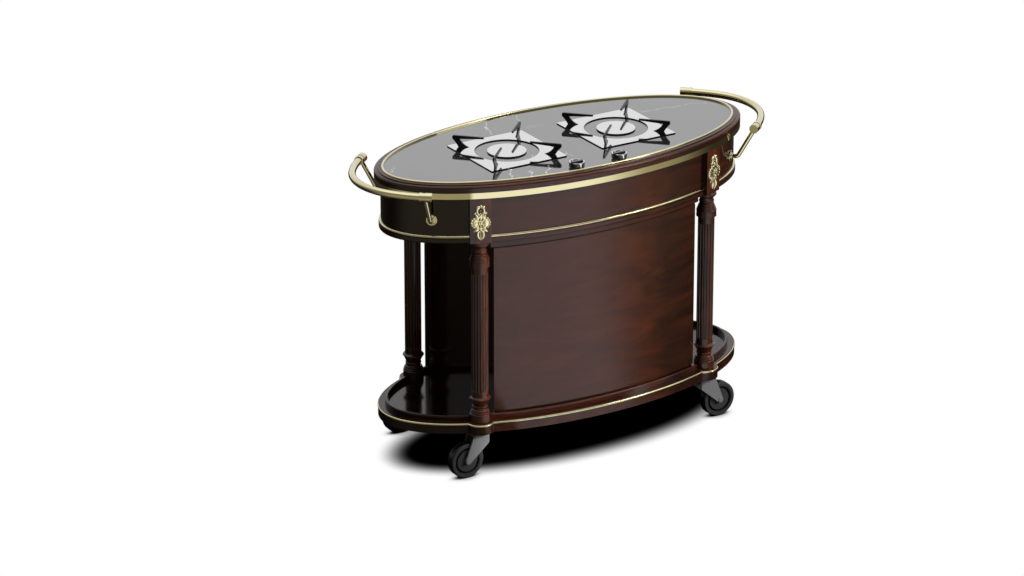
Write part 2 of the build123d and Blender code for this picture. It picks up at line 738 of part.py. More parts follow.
def door_knob(side):
    """Small turned pull, revolved about the axis that points out of the door."""
    reach, radius = DOOR_KNOB_REACH, DOOR_KNOB_RADIUS
    with BuildSketch(Plane.XZ) as section:
        with BuildLine():
            Polyline((0, 0), (radius * 0.75, 0), (radius * 0.75, 2), (radius * 0.45, 4))
            ThreePointArc(
                (radius * 0.45, 4), (radius * 0.42, reach * 0.38), (radius * 0.7, reach * 0.5)
            )
            ThreePointArc(
                (radius * 0.7, reach * 0.5), (radius, reach * 0.74), (radius * 0.6, reach * 0.97)
            )
            Line((radius * 0.6, reach * 0.97), (0, reach))
            Line((0, reach), (0, 0))
        make_face()
    knob = revolve(section.sketch, axis=Axis.Z)
    x = side * DOOR_KNOB_X
    y = oval_y(CABINET_INSET, DOOR_KNOB_X - DOOR_KNOB_RADIUS * 0.75)
    return Pos(x, y, DOOR_BOTTOM + DOOR_KNOB_HEIGHT) * Rot(-90, 0, 0) * knob


# Handles, made for the right-hand end and turned half round for the left

def handle_arcs(end):
    """Middle bend, flank bend and collar stretch, from the middle of the handle to one end."""
    start = (HANDLE_REACH, 0, HANDLE_LEVEL)
    flank_turn = HANDLE_FLANK_TURN - COLLAR_TURN
    middle = JernArc(start, (0, end, 0), HANDLE_MIDDLE_BEND, end * HANDLE_MIDDLE_TURN)
    flank = JernArc(middle @ 1, middle % 1, HANDLE_FLANK_BEND, end * flank_turn)
    collar = JernArc(flank @ 1, flank % 1, HANDLE_FLANK_BEND, end * COLLAR_TURN)
    return middle, flank, collar


def tube_along(arc, radius, low=0.0, high=1.0):
    """Round bar along a stretch of an arc, given by two shares of its length."""
    path = arc if (low, high) == (0.0, 1.0) else arc.trim(low, high)
    return sweep(Plane(path @ 0, z_dir=path % 0) * Circle(radius), path=path)


def handle_end(end, radius):
    """The part of the bar on one side of the handle's middle."""
    middle, flank, collar = handle_arcs(end)
    cap = COLLAR_CAP / collar.length
    return (
        tube_along(middle, radius)
        + tube_along(flank, radius)
        + tube_along(collar, radius, 0.0, 1.0 - cap)
    )


def handle_tube():
    return handle_end(-1, HANDLE_RADIUS) + handle_end(1, HANDLE_RADIUS)


def handle_collar(end):
    collar = handle_arcs(end)[2]
    cap = COLLAR_CAP / collar.length
    groove = GROOVE_TURN / COLLAR_TURN
    sleeve = tube_along(collar, COLLAR_RADIUS)
    cut = tube_along(collar, COLLAR_RADIUS + 1, 0.25, 0.25 + 3 * groove)
    cut -= tube_along(collar, COLLAR_RADIUS - GROOVE_DEPTH, 0.25, 0.25 + 3 * groove)
    bore = tube_along(collar, HANDLE_RADIUS + RUNNING_GAP, 0.0, 1.0 - cap)
    return sleeve - cut - bore


def handle_bracket(end):
    """Bent rod from a round rosette on the apron up to the underside of the collar."""
    collar = handle_arcs(end)[2]
    foot_y = end * oval_y(APRON_INSET, ROSETTE_X)
    out_x, out_y = oval_normal(APRON_INSET, ROSETTE_X, foot_y)
    foot = Vector(ROSETTE_X, foot_y, ROSETTE_LEVEL)
    out = Vector(out_x, out_y, 0)
    head = collar @ BRACKET_SHARE
    seat = foot + out * SEAT_GAP
    path = FilletPolyline(seat, foot + out * BRACKET_STUB, head, radius=BRACKET_BEND)
    rod = sweep(Plane(seat, z_dir=out) * Circle(BRACKET_RADIUS), path=path)
    rod -= tube_along(collar, COLLAR_RADIUS + RUNNING_GAP)
    rosette = Cylinder(ROSETTE_RADIUS, ROSETTE_THICKNESS, align=UPWARD)
    rosette += Pos(0, 0, ROSETTE_THICKNESS) * Cylinder(ROSETTE_BOSS_RADIUS, ROSETTE_BOSS_HEIGHT, align=UPWARD)
    rosette = fillet(rosette.edges().filter_by(GeomType.CIRCLE).sort_by(Axis.Z)[1:], ROSETTE_ROUND)
    return rod + Plane(seat, z_dir=out) * rosette


def both_ends(part):
    return [Rot(0, 0, 180) * part, part]


# Burners

def burner_body():
    burner = disc(BURNER_RADIUS, STONE_BOTTOM - BURNER_CUP_DEPTH, HEAD_TOP)
    burner += disc(BURNER_FLANGE_RADIUS, STONE_BOTTOM - BURNER_FLANGE_THICKNESS, STONE_BOTTOM)
    burner -= disc(CAP_SPIGOT_RADIUS + BODY_GAP, HEAD_TOP - CAP_SPIGOT_DEPTH - BODY_GAP, HEAD_TOP)
    port = Box(BURNER_RADIUS / 2, PORT_WIDTH, PORT_DEPTH, align=(Align.CENTER, Align.CENTER, Align.MAX))
    burner -= [
        Pos(0, 0, HEAD_TOP) * place * port for place in PolarLocations(BURNER_RADIUS, PORT_COUNT)
    ]
    return burner


def burner_cap():
    cap = disc(CAP_RADIUS, HEAD_TOP, HEAD_TOP + CAP_THICKNESS)
    cap = fillet(top_edges(cap), CAP_THICKNESS * 0.3)
    return cap + disc(CAP_SPIGOT_RADIUS, HEAD_TOP - CAP_SPIGOT_DEPTH, HEAD_TOP)


def drip_plate():
    outline = RectangleRounded(PLATE_SIDE, PLATE_SIDE, PLATE_CORNER) - Circle(PLATE_HOLE_RADIUS)
    plate = raised(outline, STONE_TOP, PLATE_TOP)
    return chamfer(top_edges(plate), PLATE_THICKNESS * 0.25)


def prong():
    """One upright arm of the pan support, drawn by distance from the burner and height."""
    high = PRONG_HEIGHT
    under, tip = high - PRONG_BAR_DEPTH, high - PRONG_TIP_DEPTH
    shoulder = PRONG_OUTER - PRONG_ROUND
    edges = [
        Line((PRONG_INNER, high), (shoulder, high)),
        RadiusArc((shoulder, high), (PRONG_OUTER, high - PRONG_ROUND), PRONG_ROUND),
        Line((PRONG_OUTER, high - PRONG_ROUND), (PRONG_OUTER, under)),
        ThreePointArc((PRONG_OUTER, under), (PRONG_OUTER_BOW, PRONG_BOW_HEIGHT), (PRONG_HEEL, 0)),
        Line((PRONG_HEEL, 0), (PRONG_TOE, 0)),
        ThreePointArc((PRONG_TOE, 0), (PRONG_INNER_BOW, PRONG_BOW_HEIGHT), (PRONG_THROAT, under)),
        Line((PRONG_THROAT, under), (PRONG_INNER, tip)),
        Line((PRONG_INNER, tip), (PRONG_INNER, high)),
    ]
    section = Plane.XZ * make_face(edges)
    return Pos(0, 0, PLATE_TOP) * extrude(section, amount=PRONG_THICKNESS / 2, both=True)


def pan_support():
    return group(Rot(0, 0, turn) * prong() for turn in (45, 135, 225, 315))


# Control knobs: the knob slides on a flatted spindle that turns in the tap

def flatted(radius, low, high):
    rod = disc(radius, low, high)
    flat = SPINDLE_RADIUS - SPINDLE_FLAT + (radius - SPINDLE_RADIUS)
    return rod - Pos(flat, 0, low) * Box(
        radius, 2 * radius, high - low, align=(Align.MIN, Align.CENTER, Align.MIN)
    )


def index_slot(low, high):
    slot = Box(INDEX_WIDTH, INDEX_DEPTH, high - low, align=(Align.CENTER, Align.MIN, Align.MIN))
    strip = Pos(0, -KNOB_RADIUS, low) * slot
    return strip & disc(KNOB_RADIUS, low, high)


def control_knob():
    top = KNOB_BOTTOM + KNOB_HEIGHT
    knob = disc(KNOB_RADIUS, KNOB_BOTTOM, top)
    knob -= disc(KNOB_CAVITY_RADIUS, KNOB_BOTTOM, KNOB_BOTTOM + KNOB_CAVITY_DEPTH)
    knob -= flatted(SPINDLE_RADIUS + RUNNING_GAP, KNOB_BOTTOM, SPINDLE_TOP + KNOB_TRAVEL + BODY_GAP)
    knob -= index_slot(KNOB_BOTTOM, top)
    inside = KNOB_RADIUS - KNOB_RING_WIDTH - SEAT_GAP
    ridge = Box(2 * inside, KNOB_RIDGE_WIDTH, KNOB_RIDGE_HEIGHT, align=UPWARD)
    ridge = Pos(0, 0, top) * ridge & disc(inside, top, top + KNOB_RIDGE_HEIGHT)
    return knob + ridge


def knob_ring():
    """Bright ring round the top of the knob, with the index strip down its front."""
    low = KNOB_BOTTOM + KNOB_HEIGHT
    ring = disc(KNOB_RADIUS, low, low + KNOB_RING_HEIGHT)
    ring = chamfer(top_edges(ring), KNOB_RING_HEIGHT * 0.3)
    ring -= disc(KNOB_RADIUS - KNOB_RING_WIDTH, low, low + KNOB_RING_HEIGHT)
    return ring + index_slot(KNOB_BOTTOM, low)


def tap_spindle():
    round_part = disc(SPINDLE_RADIUS, SPINDLE_TOP - SPINDLE_LENGTH, STONE_TOP)
    return round_part + flatted(SPINDLE_RADIUS, STONE_TOP, SPINDLE_TOP)


def gas_tap():
    body = Pos(0, 0, TAP_BOTTOM) * Box(TAP_SIDE, TAP_SIDE, TAP_HEIGHT - TAP_FLANGE_THICKNESS, align=UPWARD)
    body = chamfer(body.edges().filter_by(Axis.Z), TAP_SIDE * 0.12)
    body += disc(TAP_FLANGE_RADIUS, STONE_BOTTOM - TAP_FLANGE_THICKNESS, STONE_BOTTOM)
    body += disc(TAP_NECK_RADIUS, STONE_BOTTOM, STONE_TOP - TAP_NECK_DROP)
    body -= disc(SPINDLE_RADIUS + RUNNING_GAP, SPINDLE_TOP - SPINDLE_LENGTH - RUNNING_GAP, STONE_TOP)
    bore = Cylinder(MANIFOLD_RADIUS + RUNNING_GAP, TAP_SIDE + 1, rotation=(0, 90, 0))
    return body - Pos(0, 0, MANIFOLD_LEVEL) * bore


# Gas pipes

def pipe(radius, bend, *points):
    path = FilletPolyline(*points, radius=bend)
    return sweep(Plane(path @ 0, z_dir=path % 0) * Circle(radius), path=path)


def manifold():
    """Rail through both taps, with an elbow down to the hose nipple in the cabinet."""
    start_x = knob_x(-1) - MANIFOLD_OVERHANG
    collar_top = APRON_BOTTOM - INLET_DROP + NIPPLE_COLLAR_HEIGHT
    rail = pipe(
        MANIFOLD_RADIUS,
        INLET_BEND,
        (start_x, KNOB_Y, MANIFOLD_LEVEL),
        (MANIFOLD_END_X, KNOB_Y, MANIFOLD_LEVEL),
        (MANIFOLD_END_X, INLET_Y, MANIFOLD_LEVEL),
        (MANIFOLD_END_X, INLET_Y, collar_top),
    )
    nipple = disc(NIPPLE_COLLAR_RADIUS, collar_top - NIPPLE_COLLAR_HEIGHT, collar_top)
    nipple_top = collar_top - NIPPLE_COLLAR_HEIGHT
    nipple += disc(NIPPLE_RADIUS, nipple_top - NIPPLE_LENGTH, nipple_top)
    return rail + Pos(MANIFOLD_END_X, INLET_Y, 0) * nipple


def manifold_clip(x):
    """Strap that hangs the rail from the underside of the table frame."""
    outer = MANIFOLD_RADIUS + CLIP_THICKNESS
    strap = Cylinder(outer, CLIP_WIDTH, rotation=(0, 90, 0))
    rise = TABLE_BOTTOM - MANIFOLD_LEVEL
    foot_y = -oval_y(APRON_INNER_INSET, abs(x) + CLIP_WIDTH / 2) + BODY_GAP
    strap += Pos(0, -outer + CLIP_THICKNESS / 2, 0) * Box(CLIP_WIDTH, CLIP_THICKNESS, rise, align=UPWARD)
    tab = Box(
        CLIP_WIDTH, KNOB_Y - outer + CLIP_THICKNESS - foot_y, CLIP_THICKNESS,
        align=(Align.CENTER, Align.MAX, Align.MAX),
    )
    strap += Pos(0, -outer + CLIP_THICKNESS, rise) * tab
    strap -= Cylinder(MANIFOLD_RADIUS + RUNNING_GAP, CLIP_WIDTH + 1, rotation=(0, 90, 0))
    return Pos(x, KNOB_Y, MANIFOLD_LEVEL) * strap


def feed_pipe(side):
    """Pipe from the back of a tap to the side of its burner."""
    reach = BURNER_RADIUS + RUNNING_GAP
    return pipe(
        FEED_RADIUS,
        FEED_BEND,
        (knob_x(side), KNOB_Y + TAP_SIDE / 2 + RUNNING_GAP, FEED_LEVEL),
        (knob_x(side), FEED_TURN_Y, FEED_LEVEL),
        (side * BURNER_X, FEED_TURN_Y + FEED_BEND / 2, FEED_LEVEL),
        (side * BURNER_X, BURNER_Y - reach, FEED_LEVEL),
    )


def gas_pipes():
    solids = [manifold()]
    solids += [manifold_clip(knob_x(side) - side * TAP_SIDE) for side in SIDES.values()]
    solids += [feed_pipe(side) for side in SIDES.values()]
    return group(solids)


# Castors, made with the wheel trailing to +X and turned for the left-hand end

def castor_head():
    head = disc(HEAD_RADIUS, HEAD_BOTTOM, CASTOR_HEIGHT)
    head += disc(STEM_RADIUS, CASTOR_HEIGHT, CASTOR_HEIGHT + STEM_LENGTH)
    pin_end = FORK_TOP - FORK_CROWN - BODY_GAP
    head += disc(KINGPIN_RADIUS, pin_end - KINGPIN_HEAD_HEIGHT, HEAD_BOTTOM)
    return head + disc(KINGPIN_HEAD_RADIUS, pin_end - KINGPIN_HEAD_HEIGHT, pin_end)


def fork_cheek():
    """Side plate: a skirt, longer on the side away from the wheel, drawn down to the axle end."""
    far, near = FORK_SHIFT - FORK_LENGTH / 2, FORK_SHIFT + FORK_LENGTH / 2
    shoulder = Pos((far + near) / 2, FORK_TOP - FORK_SHOULDER / 2) * Rectangle(FORK_LENGTH, FORK_SHOULDER)
    corner = Pos(far + FORK_CORNER, FORK_TOP - FORK_SKIRT + FORK_CORNER) * Circle(FORK_CORNER)
    end = Pos(WHEEL_TRAIL, WHEEL_RADIUS) * Circle(FORK_END_RADIUS)
    outline = make_hull([*shoulder.edges(), *corner.edges(), *end.edges()])
    outline -= Pos(WHEEL_TRAIL, WHEEL_RADIUS) * Circle(AXLE_RADIUS + RUNNING_GAP)
    return Plane.XZ * extrude(outline, amount=FORK_SHEET / 2, both=True)


def castor_fork():
    cheek = fork_cheek()
    offset = (FORK_GAP + FORK_SHEET) / 2
    fork = Pos(0, offset, 0) * cheek + Pos(0, -offset, 0) * cheek
    crown = Box(FORK_LENGTH, FORK_GAP + 2 * FORK_SHEET, FORK_CROWN, align=DOWNWARD)
    fork += Pos(FORK_SHIFT, 0, FORK_TOP) * crown
    fork += disc(SWIVEL_RADIUS, FORK_TOP, FORK_TOP + SWIVEL_HEIGHT)
    return fork - disc(KINGPIN_RADIUS + RUNNING_GAP, FORK_TOP - FORK_CROWN, FORK_TOP + SWIVEL_HEIGHT)


def on_axle(part):
    """A piece revolved about Z, laid along the axle."""
    return Pos(WHEEL_TRAIL, 0, WHEEL_RADIUS) * Rot(90, 0, 0) * part


def castor_axle():
    axle = Cylinder(AXLE_RADIUS, FORK_GAP + 2 * (FORK_SHEET + AXLE_HEAD_HEIGHT))
    seat = FORK_GAP / 2 + FORK_SHEET
    for turn in (0, 180):
        head = Pos(0, 0, seat) * extrude(RegularPolygon(AXLE_HEAD_RADIUS, 6), amount=AXLE_HEAD_HEIGHT)
        axle += Rot(turn, 0, 0) * head
    return on_axle(axle)


def wheel_section(points):
    return revolve(Plane.XZ * Polygon(*points, align=None), axis=Axis.Z)


def castor_hub():
    """Hub with a flush disc, a ring groove round it and a thin rim that carries the tyre."""
    inner = AXLE_RADIUS + RUNNING_GAP
    rim = WHEEL_RADIUS - TYRE_DEPTH
    boss, face = FORK_GAP / 2 - 1, HUB_DISC_WIDTH / 2
    groove, edge = HUB_GROOVE_WIDTH / 2, HUB_RIM_WIDTH / 2
    half = [
        (inner, boss), (HUB_BOSS_RADIUS - HUB_SLOPE, boss), (HUB_BOSS_RADIUS, face),
        (HUB_DISC_RADIUS, face), (HUB_DISC_RADIUS + HUB_SLOPE, groove),
        (rim - HUB_RIM_DEPTH - HUB_SLOPE, groove), (rim - HUB_RIM_DEPTH, edge), (rim, edge),
    ]
    mirrored = [(radius, -height) for radius, height in reversed(half)]
    return on_axle(wheel_section(half + mirrored))


def castor_tyre():
    tyre = Cylinder(WHEEL_RADIUS, TYRE_WIDTH)
    tyre = fillet(tyre.edges().filter_by(GeomType.CIRCLE), TYRE_ROUND)
    tyre -= Cylinder(WHEEL_RADIUS - TYRE_DEPTH + RUNNING_GAP, TYRE_WIDTH)
    return on_axle(tyre)


def at_castor(corner, part):
    side, end = CORNERS[corner]
    turn = 0 if side > 0 else 180
    return Pos(side * COLUMN_X, end * COLUMN_Y, 0) * Rot(0, 0, turn) * part


# All nodes

def nodes():
    column = fluted_column()
    fork, axle, hub, tyre = castor_fork(), castor_axle(), castor_hub(), castor_tyre()
    made = {
        "table_frame": table_frame(),
        "edge_band": edge_band(),
        "stone_rim": stone_rim(),
        "stone_top": stone_top(),
        "apron_boards": apron_boards(),
        "apron_mouldings": apron_mouldings(),
        "brass_lines": group([apron_brass_lines(), shelf_brass_line()]),
        "soffit_board": soffit_board(),
        "corner_blocks": group(leg_block(corner) for corner in CORNERS),
        "corner_ornaments": corner_ornaments(),
        "shelf_board": shelf_board(),
        "shelf_bead": shelf_bead(),
        "front_panel": front_panel(),
        "cabinet_rails": cabinet_rails(),
        "side_panels": side_panels(),
        "door_fittings": door_fittings(),
        "handle_collars": group(
            [*both_ends(handle_collar(-1)), *both_ends(handle_collar(1))]
        ),
        "handle_brackets": group(
            [*both_ends(handle_bracket(-1)), *both_ends(handle_bracket(1))]
        ),
        "gas_pipes": gas_pipes(),
        "gas_taps": group(knob_place(side) * gas_tap() for side in SIDES.values()),
        "burner_bodies": group(burner_place(side) * burner_body() for side in SIDES.values()),
        "castor_heads": group(at_castor(corner, castor_head()) for corner in CORNERS),
    }
    for name, side in SIDES.items():
        at_burner = burner_place(side)
        at_knob = knob_place(side)
        made[f"handle_tube_{name}"] = Rot(0, 0, 90 - 90 * side) * handle_tube()
        made[f"door_{name}"] = door(side)
        made[f"door_knob_{name}"] = door_knob(side)
        made[f"drip_plate_{name}"] = at_burner * drip_plate()
        made[f"pan_support_{name}"] = at_burner * pan_support()
        made[f"burner_cap_{name}"] = at_burner * burner_cap()
        made[f"tap_spindle_{name}"] = at_knob * tap_spindle()
        made[f"control_knob_{name}"] = at_knob * control_knob()
        made[f"knob_ring_{name}"] = at_knob * knob_ring()
    for corner in CORNERS:
        made[f"leg_{corner}"] = corner_frame(corner) * column
        made[f"castor_fork_{corner}"] = at_castor(corner, fork)
        made[f"castor_axle_{corner}"] = at_castor(corner, axle)
        made[f"castor_hub_{corner}"] = at_castor(corner, hub)
        made[f"castor_tyre_{corner}"] = at_castor(corner, tyre)
    return made


os.makedirs("parts", exist_ok=True)
for name, shape in nodes().items():
    export_step(shape, f"parts/{name}.step")
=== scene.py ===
"""Looks of the oval cooking service cart, laid out as an add-on and run as a script."""

import math

import bmesh
import bpy
from bpy.props import FloatProperty, FloatVectorProperty, IntProperty, PointerProperty
from mathutils import Matrix, Vector


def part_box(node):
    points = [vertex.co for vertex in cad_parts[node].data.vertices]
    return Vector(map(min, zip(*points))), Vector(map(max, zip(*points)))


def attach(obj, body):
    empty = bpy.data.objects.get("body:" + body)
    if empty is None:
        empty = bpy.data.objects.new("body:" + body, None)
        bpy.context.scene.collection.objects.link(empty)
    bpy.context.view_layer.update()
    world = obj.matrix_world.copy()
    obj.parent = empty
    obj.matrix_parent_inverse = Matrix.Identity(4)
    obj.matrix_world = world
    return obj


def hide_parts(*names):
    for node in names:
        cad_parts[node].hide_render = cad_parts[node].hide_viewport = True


bl_info = {
    "name": "Cooking Service Cart",
    "version": (1, 0, 0),
    "blender": (4, 5, 0),
    "location": "3D View > Sidebar > Cart",
    "description": "Finishes, cast ornaments and studio for the oval cooking service cart",
    "category": "Object",
}

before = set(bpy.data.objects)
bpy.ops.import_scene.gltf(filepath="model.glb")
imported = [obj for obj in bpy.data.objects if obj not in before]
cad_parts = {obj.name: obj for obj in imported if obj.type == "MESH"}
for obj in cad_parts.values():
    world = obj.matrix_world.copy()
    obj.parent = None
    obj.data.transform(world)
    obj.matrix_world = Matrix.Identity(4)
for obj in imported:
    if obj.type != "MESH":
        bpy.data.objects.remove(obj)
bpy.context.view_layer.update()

SIDES = ("left", "right")
CORNERS = {
    "front_left": (-1, -1),
    "front_right": (1, -1),
    "rear_left": (-1, 1),
    "rear_right": (1, 1),
}
MILLIMETRE = 0.001

# Half sizes of the table's oval, which the bowed grain follows, and of the shelf's oval
TABLE_LOW, TABLE_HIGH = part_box("table_frame")
OVAL_LONG, OVAL_SHORT = TABLE_HIGH.x, -TABLE_LOW.y
SHELF_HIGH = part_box("shelf_board")[1]
SHELF_LONG, SHELF_SHORT = SHELF_HIGH.x, SHELF_HIGH.y

# Columns, and the corner blocks over them that the ornaments sit on
COLUMN_INSET = 0.0245
COLUMN_OVAL = (OVAL_LONG - COLUMN_INSET, OVAL_SHORT - COLUMN_INSET)
COLUMN_X = 0.362
COLUMN_Y = COLUMN_OVAL[1] * math.sqrt(1 - (COLUMN_X / COLUMN_OVAL[0]) ** 2)
BLOCK_FACE = 0.022
ORNAMENT_LOW, ORNAMENT_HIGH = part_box("corner_ornaments")
ORNAMENT_LEVEL = (ORNAMENT_LOW.z + ORNAMENT_HIGH.z) / 2

# Cast ornaments, in millimetres: drawn relief, height of a bar to its width, and middles over the block
DRAWN_RELIEF = 4.2
BAR_CROWN = 1.15
LEAF_LEVEL = 1.2
STRAND_LEVEL = 1.3
SCROLL_LEVEL = 1.4
BEAD_LEVEL = 0.6

# Side fans of the ornaments: whole angle, root of the leaves, and circle of the beads on their tips
FAN_ANGLE = 104.0
FAN_ROOT = 8.0
FAN_TIP_MIDDLE = 9.0
FAN_TIP_RADIUS = 15.6

# Pierced middle of the ornaments: angle between its spokes, and reach of the square and the slanting ones
SPOKE_ANGLE = 45
SQUARE_REACH = 12.0
SLANT_REACH = 12.5

# Steps along a leaf, a turn of a scroll and a stretch of a strand, and sides of a bar
LEAF_STEPS = 14
SCROLL_STEPS = 26
STRAND_STEPS = 6
BAR_SIDES = 10

# Mahogany: roughness of its lacquer, where the figure of bent boards fades and to what, and even figure
BOARD_GLOSS = 0.12
LEG_GLOSS = 0.07
FIGURE_FADE = (0.44, 0.70, 1.0, 0.30)
EVEN_FIGURE = 0.7

# Fine grain of cast, moulded and painted surfaces, and the rise of a hub's face out of its groove of painted
# shade
GRAIN_DEPTH = 0.0003
HUB_GROOVE = (0.0085, 0.0110)

# Pale veins of the stone: half width, wander, and for each its ends, shifted by half the wander, and paleness
VEIN_HALF_WIDTH = 0.0035
VEIN_WANDER = 0.036
STONE_VEINS = (
    ((-0.085, 0.245), (-0.125, 0.145), 0.75),
    ((0.012, 0.243), (0.0, 0.203), 0.5),
    ((-0.007, 0.144), (0.047, 0.136), 0.3),
    ((0.312, 0.09), (0.515, 0.066), 0.4),
    ((-0.505, 0.03), (-0.476, 0.057), 0.5),
    ((-0.215, -0.1), (-0.25, -0.175), 0.75),
    ((-0.18, -0.145), (-0.2, -0.19), 0.6),
    ((-0.114, -0.14), (-0.16, -0.205), 0.65),
    ((-0.018, -0.08), (-0.025, -0.11), 0.5),
)

# Lamps: size, place, aim, and angle in degrees that the light spreads over; and the camera's own sizes
SIDE_LAMP = ((1.6, 1.6), (3.5, -2.9, 2.55), (0, 0, 0.45), 180)
FRONT_BEAM = ((0.442, 1.3), (1.151, -1.988, 1.67), (-0.115, -0.18, 0.5), 2)
TOP_BEAM = ((1.25, 0.65), (0, 0, 2.6), (0, 0, 0.8), 10)
SENSOR_WIDTH = 36.0
CAMERA_REACH = 100.0

# Floor, painted shadow: grey that lights the cart, where the shadow starts, its fall, and that of the
# contacts
FLOOR_GREY = (0.28, 0.28, 0.28, 1)
SHADOW_START = -0.012
SHADOW_FALL = 1.9
CONTACT_FALL = (0.25, 0.85)

# Floor for mirrors: turns from the front, in degrees, where a stretch comes and goes; and what is left behind
FRONT_TURNS = ((-27.5, -24.5), (18, 46))
SIDE_TURNS = ((-128, -62), (36, 82))
LEFT_BEHIND = 0.09

# Dimming of that floor towards the cart: two distances in from the shelf's edge, and the light at each
SIDE_DIMMING = (-1.6, -0.3, 1.0, 0.45)
NEAR_DIMMING = (-0.36, -0.06, 1.0, 0.12)

# Sky for mirrors: direction that it is brightest in, its light away from there and towards it, and overhead
SKY_LEAN = (0.35, 0.55, 0.75)
SKY_LIGHT = (0.2, 0.7, 0.27, 0.97)
OVERHEAD_RISE = (40, 62)
OVERHEAD_LIGHT = 0.5

# Bright panel and small lamp for mirrors: turns from the front and rises where they come and go, in degrees
PANEL_TURNS = ((39, 41), (58, 60))
PANEL_RISES = ((8, 10), (38, 40))
SPOT_TURNS = ((41, 42), (46, 47))
SPOT_RISES = ((20, 22), (44, 46))

WHITE = (1, 1, 1, 1)
BLACK = (0, 0, 0, 1)


def colour_property(name, description, default, highest=1.0):
    """A colour that a user can change."""
    return FloatVectorProperty(
        name=name, description=description, default=default, size=4, subtype="COLOR", min=0.0, max=highest
    )


class CartColours(bpy.types.PropertyGroup):
    """Colours of the cart's finishes."""

    board_dark: colour_property("Board dark", "Darkest lines of the boards", (0.024, 0.0062, 0.0030, 1))
    board_warm: colour_property("Board warm", "Body colour of the boards", (0.046, 0.0115, 0.0047, 1))
    board_red: colour_property("Board red", "Reddest streaks of the boards", (0.082, 0.0190, 0.0068, 1))
    leg_dark: colour_property("Leg dark", "Darkest lines of the legs", (0.040, 0.0100, 0.0044, 1))
    leg_warm: colour_property("Leg warm", "Body colour of the legs", (0.108, 0.0262, 0.0102, 1))
    leg_red: colour_property("Leg red", "Reddest streaks of the legs", (0.170, 0.0410, 0.0148, 1))
    stone: colour_property("Stone", "Ground of the polished stone", (0.022, 0.022, 0.024, 1))
    vein: colour_property("Vein", "Pale veins in the stone", (0.55, 0.55, 0.56, 1))
    brass: colour_property("Brass", "Polished brass", (0.60, 0.53, 0.27, 1))
    tarnish: colour_property("Tarnish", "Darkened brass in the recesses", (0.13, 0.085, 0.025, 1))
    gilt: colour_property("Gilt", "Cast gilt ornaments", (0.78, 0.70, 0.38, 1))
    steel: colour_property("Steel", "Polished burner steel", (0.72, 0.72, 0.73, 1))
    enamel: colour_property("Enamel", "Black of the pan supports", (0.002, 0.002, 0.002, 1))
    alloy: colour_property("Alloy", "Cast burner heads", (0.36, 0.36, 0.37, 1))
    copper: colour_property("Copper", "Gas pipes", (0.70, 0.36, 0.20, 1))
    knob: colour_property("Knob", "Black of the control knobs", (0.008, 0.008, 0.009, 1))
    chrome: colour_property("Chrome", "Rings of the control knobs", (0.86, 0.86, 0.87, 1))
    fork: colour_property("Fork", "Grey castor forks", (0.27, 0.27, 0.27, 1))
    hub: colour_property("Hub", "Grey of the wheel hubs and tyre sides", (0.060, 0.060, 0.062, 1))
    # Rubber black is also painted shade: round the edges of burner steel and knob rings, in the castor forks
    # and in the hubs' grooves.
    rubber: colour_property("Rubber", "Tread of the castors", (0.004, 0.004, 0.004, 1))
    dust: colour_property("Dust", "Pale dust in corners and on rubber", (0.16, 0.15, 0.14, 1))
    board: colour_property("Plain board", "Unseen board under the table", (0.12, 0.06, 0.03, 1))


class CartOrnament(bpy.types.PropertyGroup):
    """Sizes of the cast corner ornaments."""

    relief: FloatProperty(
        name="Relief", description="Height of the carving over the block", default=DRAWN_RELIEF * MILLIMETRE,
        unit="LENGTH",
    )
    voxel: FloatProperty(
        name="Voxel", description="Grain of the cast surface", default=0.0006, unit="LENGTH"
    )
    fan: IntProperty(name="Fan", description="Leaves of each side fan", default=5, min=2)


class CartStage(bpy.types.PropertyGroup):
    """Camera, light and floor."""

    lens: FloatProperty(
        name="Lens", description="Focal length of the camera in millimetres", default=160.565, unit="CAMERA"
    )
    camera_place: FloatVectorProperty(
        name="Camera place", description="Where the camera stands", default=(-6.1728, -9.8754, 5.0580),
        subtype="TRANSLATION",
    )
    camera_turn: FloatVectorProperty(
        name="Camera turn", description="Which way the camera looks", subtype="EULER",
        default=(math.radians(68.21), 0.0, math.radians(-31.3685)),
    )
    side_power: FloatProperty(
        name="Side lamp", description="Power of the lamp to the right", default=185.0, unit="POWER"
    )
    beam_power: FloatProperty(
        name="Front beam", description="Power of the narrow lamp in front", default=1.4, unit="POWER"
    )
    top_power: FloatProperty(
        name="Top lamp", description="Power of the lamp above", default=1.5, unit="POWER"
    )
    sky: FloatProperty(name="Sky", description="Soft light from all round", default=0.03, min=0.0)
    floor_reach: FloatProperty(
        name="Floor", description="Half length of the floor", default=40.0, unit="LENGTH"
    )
    shadow_edge: FloatProperty(
        name="Shadow edge", description="How far in from the shelf's edge the floor turns black",
        default=0.098, unit="LENGTH",
    )
    contact_reach: FloatProperty(
        name="Contact reach", description="How far the shadow of a wheel spreads", default=0.05, unit="LENGTH"
    )
    front_glow: colour_property(
        "Front glow", "Floor in front, as mirrors see it", (1.36, 1.37, 1.43, 1), 4.0
    )
    side_glow: colour_property(
        "Side glow", "Floor to the sides, as mirrors see it", (0.46, 0.43, 0.32, 1)
    )
    panel_glow: FloatProperty(
        name="Panel glow", description="Bright panel to the right, as mirrors see it", default=1.8, min=0.0
    )
    spot_glow: FloatProperty(
        name="Spot glow", description="Small lamp to the right, as mirrors see it", default=14.0, min=0.0
    )


# Node helpers

def place(tree, kind, inputs=None, **settings):
    """A node with its settings, each input either linked or set."""
    node = tree.nodes.new(kind)
    for name, value in settings.items():
        setattr(node, name, value)
    for key, value in (inputs or {}).items():
        if isinstance(value, bpy.types.NodeSocket):
            tree.links.new(value, node.inputs[key])
        else:
            node.inputs[key].default_value = value
    return node


def math_node(tree, operation, first, second=0.0):
    return place(tree, "ShaderNodeMath", {0: first, 1: second}, operation=operation).outputs[0]


